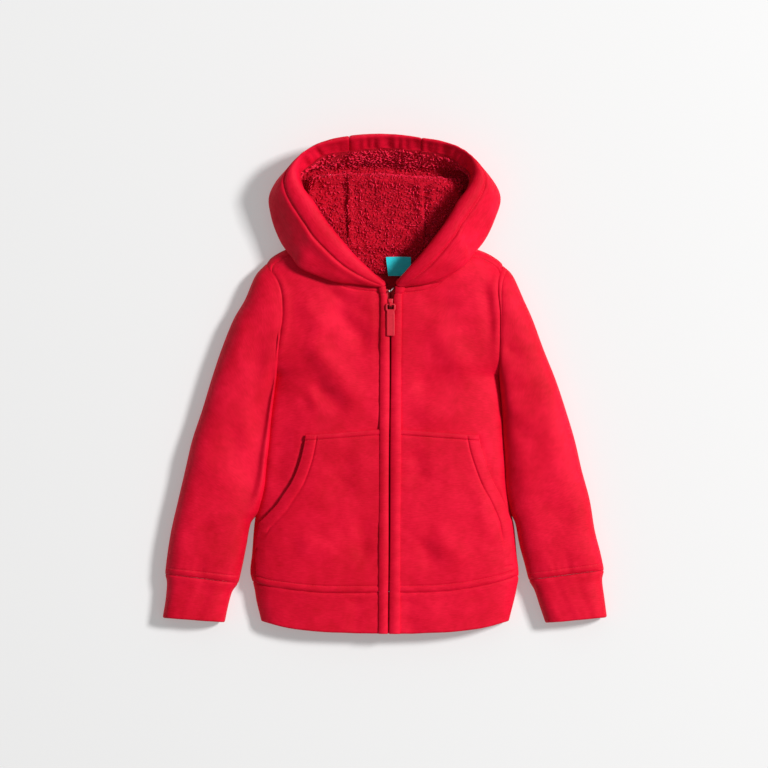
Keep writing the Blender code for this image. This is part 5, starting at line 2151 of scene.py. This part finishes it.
    def build(self, sewing: Sewing) -> None:
        """Makes, declares and sews the three panels.

        Args:
            sewing: What collects the stitches.
        """
        groove = int(np.argmin(np.abs(self.rows_down() - HOOD_KNOTS[2])))
        panels = {"hood_left": self.side_panel(LEFT), "hood_right": self.side_panel(RIGHT),
                  "hood_centre": self.centre_panel()}
        for node, cloth in panels.items():
            middle = node == "hood_centre"
            sheet(cloth, node)
            sewing.along_row("hood_topstitching", cloth, groove, 0.0 if middle else 0.07)


# ==== hood lining ====
@dataclass
class Lining:
    """Curly lining inside the hood: a lumpy base and the curls that stand on it."""

    thick: float = 3.5
    step: float = 0.3
    lap: float = 1.0
    bulge: float = 3.4
    pitch: float = 2.8
    curl: Hook = Hook("curl", 5, 0.62, 1.0, 1.15 * math.pi, 6, 0.12, filled=True)
    neck_drop: float = 28.0
    crest_x: tuple = (-105.0, -70.0, -46.0, -17.0, 12.0, 47.0, 82.0)
    crest_shift: tuple = (0.035, 0.005, 0.0, 0.0, 0.025, 0.055, 0.07)
    hood: Hood = field(default_factory=Hood)

    def controls(self, side: int, at: Array) -> Array:
        """Control points of the ribs at these places.

        Args:
            side: Which half of the garment.
            at: Places, counted in ribs.

        Returns:
            Columns, controls and coordinates.
        """
        knots = np.arange(len(LINING))
        first = len(HOOD) - len(LINING)
        shell = self.hood.controls(side, first + at)
        axis = shell[:, 0] - shell[:, 1]
        axis /= np.linalg.norm(axis, axis=1, keepdims=True)
        made = [shell[:, 0] + axis * self.step]
        for name in ("low", "crest", "plateau", "neck"):
            rows = np.array([on_side(getattr(rib, name), side) for rib in LINING])
            if name == "neck":
                rows[:, 1] -= self.neck_drop
                rows[:, 2] -= 1.0
            made.append(spline(knots, rows, at))
        return np.stack(made, axis=1)

    def base(self, name: str, points: Array, outward: int, v: Array, seed: int) -> Cloth:
        """A panel's base, pressed up into lumps where its curls stand.

        Args:
            name: The piece's name.
            points: Its grid.
            outward: Which way its normals point.
            v: Share of the way from facing to neck, for each row.
            seed: Scatters the lumps.

        Returns:
            The cloth.
        """
        thick = self.thick * (1.0 - 0.35 * bell(v - 0.3, 0.14))
        cloth = Cloth(name, points, thick[:, None] * np.ones(points.shape[1])[None, :], outward)
        random = np.random.default_rng(seed)
        across, up = cloth.arc_lengths()
        cols = np.arange(0.0, across[-1] + self.pitch, self.pitch)
        rows = np.arange(0.0, up[-1] + self.pitch, self.pitch)
        centres = np.stack(np.meshgrid(cols, rows), axis=-1).reshape(-1, 2)
        centres = centres + random.uniform(-0.45, 0.45, centres.shape) * self.pitch
        grid = np.stack(np.meshgrid(across, up), axis=-1)
        nearest = np.full(grid.shape[:2], 99.0)
        for centre in centres:
            nearest = np.minimum(nearest, np.hypot(*np.moveaxis(grid - centre, -1, 0)))
        pile = np.clip(1.0 - (nearest / (0.95 * self.pitch)) ** 2, 0.0, 1.0)
        broad = ripple(grid[..., 0], grid[..., 1], 5.0, 0.9, float(seed))
        tall = v[:, None] - spline(self.crest_x, self.crest_shift, points[..., 0])
        big = 4.6 * bell(tall - 0.42, 0.05) - 6.5 * bell(tall - 0.27, 0.09)
        big = big + 2.2 * bell(v[:, None] - 0.86, 0.02) - 1.2 * bell(v[:, None] - 0.895, 0.02)
        to_seam = across[-1] - across
        near = smooth(0.38, 0.46, tall) * smooth(0.86, 0.8, v[:, None])
        if name.endswith("centre"):
            edge = 2.6 * bell(np.minimum(across, to_seam) - 2.6, 3.2)
        else:
            edge = -2.6 * bell(to_seam - 5.0, 5.5)
        cloth.push(big + edge[None, :] * near)
        cloth.push(0.9 * pile + broad - 0.3)
        return cloth

    def side_panel(self, side: int) -> Cloth:
        """One side of the lining.

        Args:
            side: Which half of the garment.

        Returns:
            The cloth.
        """
        at = np.linspace(0.0, len(LINING) - 1.0, 84)
        v = np.linspace(0.0, 1.0, 84)
        points = spline(LINING_KNOTS, np.moveaxis(self.controls(side, at), 1, 0), v)
        return self.base("lining_pile_" + side_name(side), points, side, v, 7 + side)

    def centre_panel(self) -> Cloth:
        """The strip between the sides.

        Returns:
            The cloth.
        """
        v = np.linspace(0.0, 1.0, 84)
        last = np.array([len(LINING) - 1.0])
        left, right = (spline(LINING_KNOTS, self.controls(side, last)[0], v)[:, None, :]
                       for side in (LEFT, RIGHT))
        u = np.linspace(0.0, 1.0, 62)
        lap = np.array((self.lap, 0.0, 0.0))
        points = left - lap + (right - left + 2 * lap) * u[None, :, None]
        bow = (1.0 - (2.0 * u - 1.0) ** 2)[None, :]
        points[..., 1] += self.bulge * bow * (1.0 - smooth(0.0, 0.4, v[:, None]))
        return self.base("lining_pile_centre", points, -1, v, 11)

    def curls(self, name: str, cloth: Cloth, seed: int) -> Object:
        """Stands curls all over a base.

        Args:
            name: The piece's name.
            cloth: The base.
            seed: Scatters the curls.

        Returns:
            One object with every curl.
        """
        random = np.random.default_rng(seed)
        across, up = cloth.arc_lengths()
        cols = np.arange(1.2, across[-1] - 1.2, self.pitch)
        rows = np.arange(3.4, up[-1] - 1.2, self.pitch)
        spots = np.stack(np.meshgrid(cols, rows), axis=-1).reshape(-1, 2)
        spots = spots + random.uniform(-0.5, 0.5, spots.shape) * self.pitch
        col = np.interp(spots[:, 0], across, np.arange(len(across)))
        row = np.interp(spots[:, 1], up, np.arange(len(up)))
        points, normals = cloth.sample(row, col)
        tufts = Copies(self.curl.make())
        heights = np.array([vert.co.z for vert in tufts.shape.vertices])
        # painted light and shade: each curl's points are paler the higher they stand
        painted_tip_light = 0.25 + 0.75 * (heights - heights.min()) / np.ptp(heights)
        for point, normal in zip(points, normals):
            spin = random.uniform(0.0, 2.0 * math.pi)
            lean = normal + random.uniform(-0.45, 0.45, 3)
            along = np.array((math.cos(spin), math.sin(spin), 0.0))
            tufts.add(point + normal * 0.3, along, lean, random.uniform(0.75, 1.3))
        made = tufts.finish(name, Finish.SHERPA, "red_sherpa")
        self.add_pile_shade(made.data, np.tile(painted_tip_light, len(points)))
        return made

    def add_pile_shade(self, mesh: Mesh, values: Array) -> None:
        """Stores how high in the pile each point lies, which the sherpa material paints as shade low down
        and light high up.
        """
        mesh.attributes.new("pile", "FLOAT", "POINT").data.foreach_set("value", values)

    def build(self) -> None:
        panels = {"lining_left": self.side_panel(LEFT), "lining_right": self.side_panel(RIGHT),
                  "lining_centre": self.centre_panel()}
        for seed, (node, cloth) in enumerate(panels.items()):
            base = cloth.build(Finish.SHERPA.material)
            # a low pile value on the base: painted shade between the curls
            self.add_pile_shade(base.data, np.full(len(base.data.vertices), 0.1))
            tufts = self.curls(node + "_curls", cloth, seed)
            declare(base, node)


# ==== neck label ====
@dataclass
class NeckLabel:
    """Plain woven label, sewn in below the back neck seam."""

    left: float = -4.1
    right: float = 25.2
    low: float = 215.3
    high: float = 237.5
    top_z: float = 13.0
    end_z: float = 11.0
    lean: float = 2.6
    thick: float = 0.7
    border: float = 1.5

    def build(self) -> None:
        u = np.linspace(0.0, 1.0, 40)[None, :]
        v = np.linspace(0.0, 1.0, 32)[:, None]
        x = self.left + self.lean * (1.0 - v) + (self.right - self.left - self.lean * (1.0 - v)) * u
        y = self.low + (self.high - self.low) * v + 0.3 * np.sin(np.pi * u)
        z = self.end_z + (self.top_z - self.end_z) * v * v + 0.25 * np.sin(2.4 * np.pi * u) * (1 - v)
        cloth = Cloth("neck_label_cloth", xyz(x, y, z), self.thick, 1)
        edge = np.minimum(np.minimum(x - self.left, self.right - x),
                          np.minimum(y - self.low, self.high - y))
        cloth.push(-0.14 * bell(edge - self.border, 0.35))
        cloth.roll_edge(edge)
        sheet(cloth, "neck_label", Finish.LABEL)


# ==== zip ====
def hard_piece(name: str, work: BMesh, finish: Finish, body: str = GARMENT) -> Object:
    """Finishes a hard piece modelled in millimetres about the garment's origin.

    Args:
        name: Its name.
        work: Its shape; it is freed here.
        finish: What it is dressed in.
        body: The body it rides on.

    Returns:
        The new object.
    """
    bmesh.ops.scale(work, vec=(MM, MM, MM), verts=work.verts[:])
    mesh = mesh_of(name, work)
    finish_mesh(mesh, angle=35.0)
    return place(name, mesh, finish.material, body)


def round_edges(work: BMesh, offset: float, segments: int = 3, steepest: float = 0.6) -> None:
    """Rounds every edge that turns by more than an angle.

    Args:
        work: The shape.
        offset: Width of the rounding.
        segments: Its number of faces.
        steepest: The angle, in radians.
    """
    sharp = [edge for edge in work.edges if edge.calc_face_angle(0.0) > steepest]
    bmesh.ops.bevel(work, geom=sharp, offset=offset, offset_type="OFFSET", segments=segments,
                    profile=0.5, affect="EDGES", material=-1, clamp_overlap=True)


@dataclass
class Zip:
    """The closed zip: tapes, coil, stops, slider and pull."""

    low: float = -202.0
    high: float = 199.8
    closed_to: float = 174.0
    inner: float = 0.9
    outer: float = 11.1
    thick: float = 1.0
    below_top: float = 5.0
    coil_below: float = 4.9
    pitch: float = 1.6
    tooth: Hook = Hook("tooth", 6, 0.36, 1.15, math.pi, 5, 0.07)
    slider_y: float = 182.0
    hinge_above: float = 3.5
    pull_half: float = 5.2
    pull_length: float = 37.0
    pull_thick: float = 2.0
    upper_plate: tuple = (2.9, 2.1, 1.3)
    lower_plate: tuple = (2.6, 1.9, 1.2)
    wedge: tuple = (1.0, 0.8)
    nose_y: float = -2.6
    sunk: float = 5.0
    clear: float = 0.5
    bridge: tuple = (2.0, 1.0)
    bridge_wide: float = 2.2
    leg: float = 1.7
    bar: float = 0.9
    hole: float = 4.9
    waist_y: float = -11.5
    stop_y: float = 197.6
    stop_x: float = 1.7
    stop_size: tuple = (1.3, 1.8)
    stop_below: float = 1.6
    stop_turns: tuple = ((LEFT, 0.5, 2.6), (RIGHT, -0.8, 5.0))
    edges: FrontEdges = field(default_factory=FrontEdges)

    def hinge(self) -> Vector:
        """Centre of the pull's hinge."""
        y = np.array(self.slider_y)
        return Vector((float(FORM.zip_x(y)), self.slider_y, float(FORM.crown(y)) + self.hinge_above))

    def tape(self, side: int) -> None:
        """One woven tape, under its front edge.

        Args:
            side: Which half of the garment.
        """
        y = np.linspace(self.low, self.high, 150)[:, None]
        reach = np.linspace(self.inner, self.outer, 13)[None, :]
        points = FORM.top(side, reach / FORM.half_width(side, y), y)
        points[..., 2] += self.edges.raised(y) - self.below_top - 1.9 * smooth(4.4, 2.2, reach)
        tag = side_name(side)
        cloth = Cloth("zip_tape_cloth_" + tag, points, self.thick, side)
        sheet(cloth, "zip_tape_" + tag, Finish.TAPE)

    def coil(self) -> None:
        """Both rows of the coil, meshed along the zip line."""
        turns = Copies(self.tooth.make())
        for side in (LEFT, RIGHT):
            for k in range(int((self.closed_to - self.low - 2.0) / self.pitch)):
                y = np.array(self.low + 1.0 + self.pitch * (k + 0.25 * (side + 1)))
                z = FORM.crown(y) + self.edges.raised(y) - self.coil_below - 1.5
                turns.add(np.array((FORM.zip_x(y) + 0.75 * side, y, z)), (1.0, 0.0, 0.0), (0.0, 0.0, 1.0))
        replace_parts(turns.finish("zip_coil", Finish.COIL, "red_zip"), "zip_chain")

    def stops(self) -> None:
        """The pale metal stops at the top of the tapes."""
        wide, tall = self.stop_size
        for side, turn, length in self.stop_turns:
            work = bmesh.new()
            bmesh.ops.create_cube(work, size=1.0)
            bmesh.ops.scale(work, vec=(wide, length, tall), verts=work.verts[:])
            round_edges(work, 0.4)
            bmesh.ops.rotate(work, verts=work.verts[:], cent=(0, 0, 0),
                             matrix=Matrix.Rotation(turn, 3, "Z"))
            y = np.array(self.stop_y + 0.4 * length * (side > 0))
            z = float(FORM.crown(y)) - self.stop_below
            bmesh.ops.translate(work, verts=work.verts[:],
                                vec=(float(FORM.zip_x(y)) + self.stop_x * side, float(y), z))
            hard_piece("zip_stop_" + side_name(side), work, Finish.METAL)

    def plate(self, work: BMesh, wide: float, narrow: float, low: float, high: float,
              start: float = -7.6) -> None:
        """Adds a tapered plate, wide towards the hood.

        Args:
            work: The shape that grows.
            wide: Half its width at the hood's end.
            narrow: Half its width at the other end.
            low: Its lower face.
            high: Its upper face.
            start: Where its narrow end lies.
        """
        before = set(work.verts)
        bmesh.ops.create_cube(work, size=1.0)
        fresh = [vert for vert in work.verts if vert not in before]
        for vert in fresh:
            half = wide if vert.co.y > 0.0 else narrow
            vert.co = Vector((math.copysign(half, vert.co.x), 6.6 if vert.co.y > 0.0 else start,
                              high if vert.co.z > 0.0 else low))

    def slider(self) -> None:
        """Body of the slider: two plates, the wedge between them, and the bridge."""
        hinge = self.hinge()
        work = bmesh.new()
        high = -self.pull_thick / 2 - self.clear
        low = -self.hinge_above - self.sunk
        inner_high, inner_low = high - self.upper_plate[2], low + self.lower_plate[2]
        self.plate(work, *self.upper_plate[:2], inner_high, high, self.nose_y)
        self.plate(work, *self.lower_plate[:2], low, inner_low)
        self.plate(work, *self.wedge, inner_low, inner_high, self.nose_y)
        round_edges(work, 0.45)
        bridge = bmesh.ops.create_grid(work, x_segments=1, y_segments=1, size=0.5)["verts"]
        bmesh.ops.scale(work, vec=(self.bridge_wide, self.bridge[1], 1.0), verts=bridge)
        bmesh.ops.translate(work, verts=bridge, vec=(0.0, self.bridge[0], 0.0))
        ring = [face for face in work.faces if all(vert in bridge for vert in face.verts)]
        bmesh.ops.spin(work, geom=ring + list({e for f in ring for e in f.edges}) + bridge,
                       cent=(0, 0, 0), axis=(1, 0, 0), angle=math.pi, steps=14)
        for turn in (0.0, math.pi):
            leg = bmesh.ops.create_cube(work, size=1.0)["verts"]
            bmesh.ops.scale(work, vec=(self.bridge_wide, self.bridge[1], self.leg), verts=leg)
            reach = self.bridge[0] * math.cos(turn)
            bmesh.ops.translate(work, verts=leg, vec=(0.0, reach, -self.leg / 2))
        bmesh.ops.translate(work, verts=work.verts[:], vec=hinge)
        made = hard_piece("zip_slider_body", work, Finish.ENAMEL)
        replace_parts(made, "zip_slider")

    def pull(self) -> None:
        """The flat pull tab: a ring round the bridge and a rimmed tab below it."""
        work = bmesh.new()
        half, bar = self.pull_half, self.bar
        xs = (-half, -half + 1.8, half - 1.8, half)
        ys = (-self.pull_length, -self.pull_length + 1.0, -self.pull_length + 3.0, self.waist_y, -9.4, -7.9,
              -bar - self.hole - 1.1, -bar - self.hole, -bar, bar)
        wide = (0.84, 0.88, 0.89, 0.89, 0.86, 0.86, 1.0, 1.12, 1.12, 0.84)
        bmesh.ops.create_grid(work, x_segments=len(xs) - 1, y_segments=len(ys) - 1, size=0.5)
        for vert in work.verts:
            i = round((vert.co.x + 0.5) * (len(xs) - 1))
            j = round((vert.co.y + 0.5) * (len(ys) - 1))
            vert.co = Vector((xs[i] * wide[j], ys[j], -self.pull_thick / 2))
        hole = [face for face in work.faces if abs(face.calc_center_median().x) < 1.0
                and -bar - self.hole < face.calc_center_median().y < -bar]
        bmesh.ops.delete(work, geom=hole, context="FACES")
        grown = bmesh.ops.extrude_face_region(work, geom=work.faces[:])["geom"]
        lid = [item for item in grown if isinstance(item, BMVert)]
        bmesh.ops.translate(work, verts=lid, vec=(0.0, 0.0, self.pull_thick))
        bmesh.ops.recalc_face_normals(work, faces=work.faces[:])
        round_edges(work, 0.5)
        tab = [face for face in work.faces if abs(face.normal.z) > 0.99
               and -self.pull_length + 0.5 < face.calc_center_median().y < self.waist_y]
        bmesh.ops.inset_region(work, faces=tab, thickness=1.0, depth=0.0, use_even_offset=True)
        bmesh.ops.inset_region(work, faces=tab, thickness=0.25, depth=-0.3, use_even_offset=True)
        bmesh.ops.translate(work, verts=work.verts[:], vec=self.hinge())
        made = hard_piece("zip_pull_tab", work, Finish.ENAMEL, "zip_pull")
        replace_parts(made, "zip_pull")

    def build(self) -> None:
        """Makes every piece of the zip."""
        for side in (LEFT, RIGHT):
            self.tape(side)
        self.coil()
        self.stops()
        self.slider()
        self.pull()


# ==== studio ====
@dataclass
class Studio:
    """Pale floor, soft light and a camera that looks straight down."""

    centre: tuple = (-0.0064, 0.0889)
    frame_width: float = 0.8986
    distance: float = 12.0
    focus_height: float = 0.025
    sensor: float = 36.0
    key_spot: tuple = (6.0, 2.5, 5.8)
    key_size: float = 1.5
    key_watts: float = 900.0
    key_tint: tuple = (1.0, 0.995, 0.99)
    floor_half: float = 4.0
    floor_grey: float = 0.58
    floor_glow: float = 0.26
    sky_strength: float = 0.28

    def floor(self) -> None:
        """A plain pale floor."""
        work = bmesh.new()
        bmesh.ops.create_grid(work, x_segments=1, y_segments=1, size=self.floor_half)
        material, _, _ = new_material(
            "pale_floor", Base_Color=(self.floor_grey,) * 3 + (1.0,), Roughness=0.95,
            Emission_Color=(1.0, 1.0, 1.0, 1.0), Emission_Strength=self.floor_glow)
        place("floor", mesh_of("floor", work), material)

    def key_light(self) -> None:
        """A square soft light, aimed at the garment."""
        lamp = bpy.data.lights.new("key", "AREA")
        lamp.size, lamp.energy, lamp.color = self.key_size, self.key_watts, self.key_tint
        made = bpy.data.objects.new("key", lamp)
        made.location = self.key_spot
        aim = Vector((*self.centre, 0.0)) - made.location
        made.rotation_euler = aim.to_track_quat("-Z", "Y").to_euler()
        bpy.context.scene.collection.objects.link(made)

    def sky(self) -> None:
        """Even, pale light from all round."""
        world = bpy.context.scene.world or bpy.data.worlds.new("studio")
        world.use_nodes = True
        back = world.node_tree.nodes["Background"]
        back.inputs["Color"].default_value = (1.0, 1.0, 1.0, 1.0)
        back.inputs["Strength"].default_value = self.sky_strength
        bpy.context.scene.world = world

    def camera(self) -> None:
        """The camera."""
        lens = bpy.data.cameras.new("camera")
        lens.sensor_width = self.sensor
        lens.lens = self.sensor * (self.distance - self.focus_height) / self.frame_width
        lens.clip_end = 20.0
        made = bpy.data.objects.new("camera", lens)
        made.location = (*self.centre, self.distance)
        bpy.context.scene.collection.objects.link(made)
        bpy.context.scene.camera = made

    def build(self) -> None:
        """Makes the floor, the light and the camera."""
        self.floor()
        self.key_light()
        self.sky()
        self.camera()
        bpy.context.scene.view_settings.view_transform = "Standard"


def main() -> None:
    logging.basicConfig(level=logging.INFO, format="%(message)s")
    for name in ("Cube", "Light", "Camera"):
        if name in bpy.data.objects:
            bpy.data.objects.remove(bpy.data.objects[name], do_unlink=True)
    sewing = Sewing()
    Body().build(sewing)
    FrontEdges().build(sewing)
    Sleeves().build(sewing)
    Hood().build(sewing)
    Lining().build()
    NeckLabel().build()
    Zip().build()
    for name in list(sewing.rows):
        sewing.make(name)
    Studio().build()


if __name__ == "__main__":
    main()
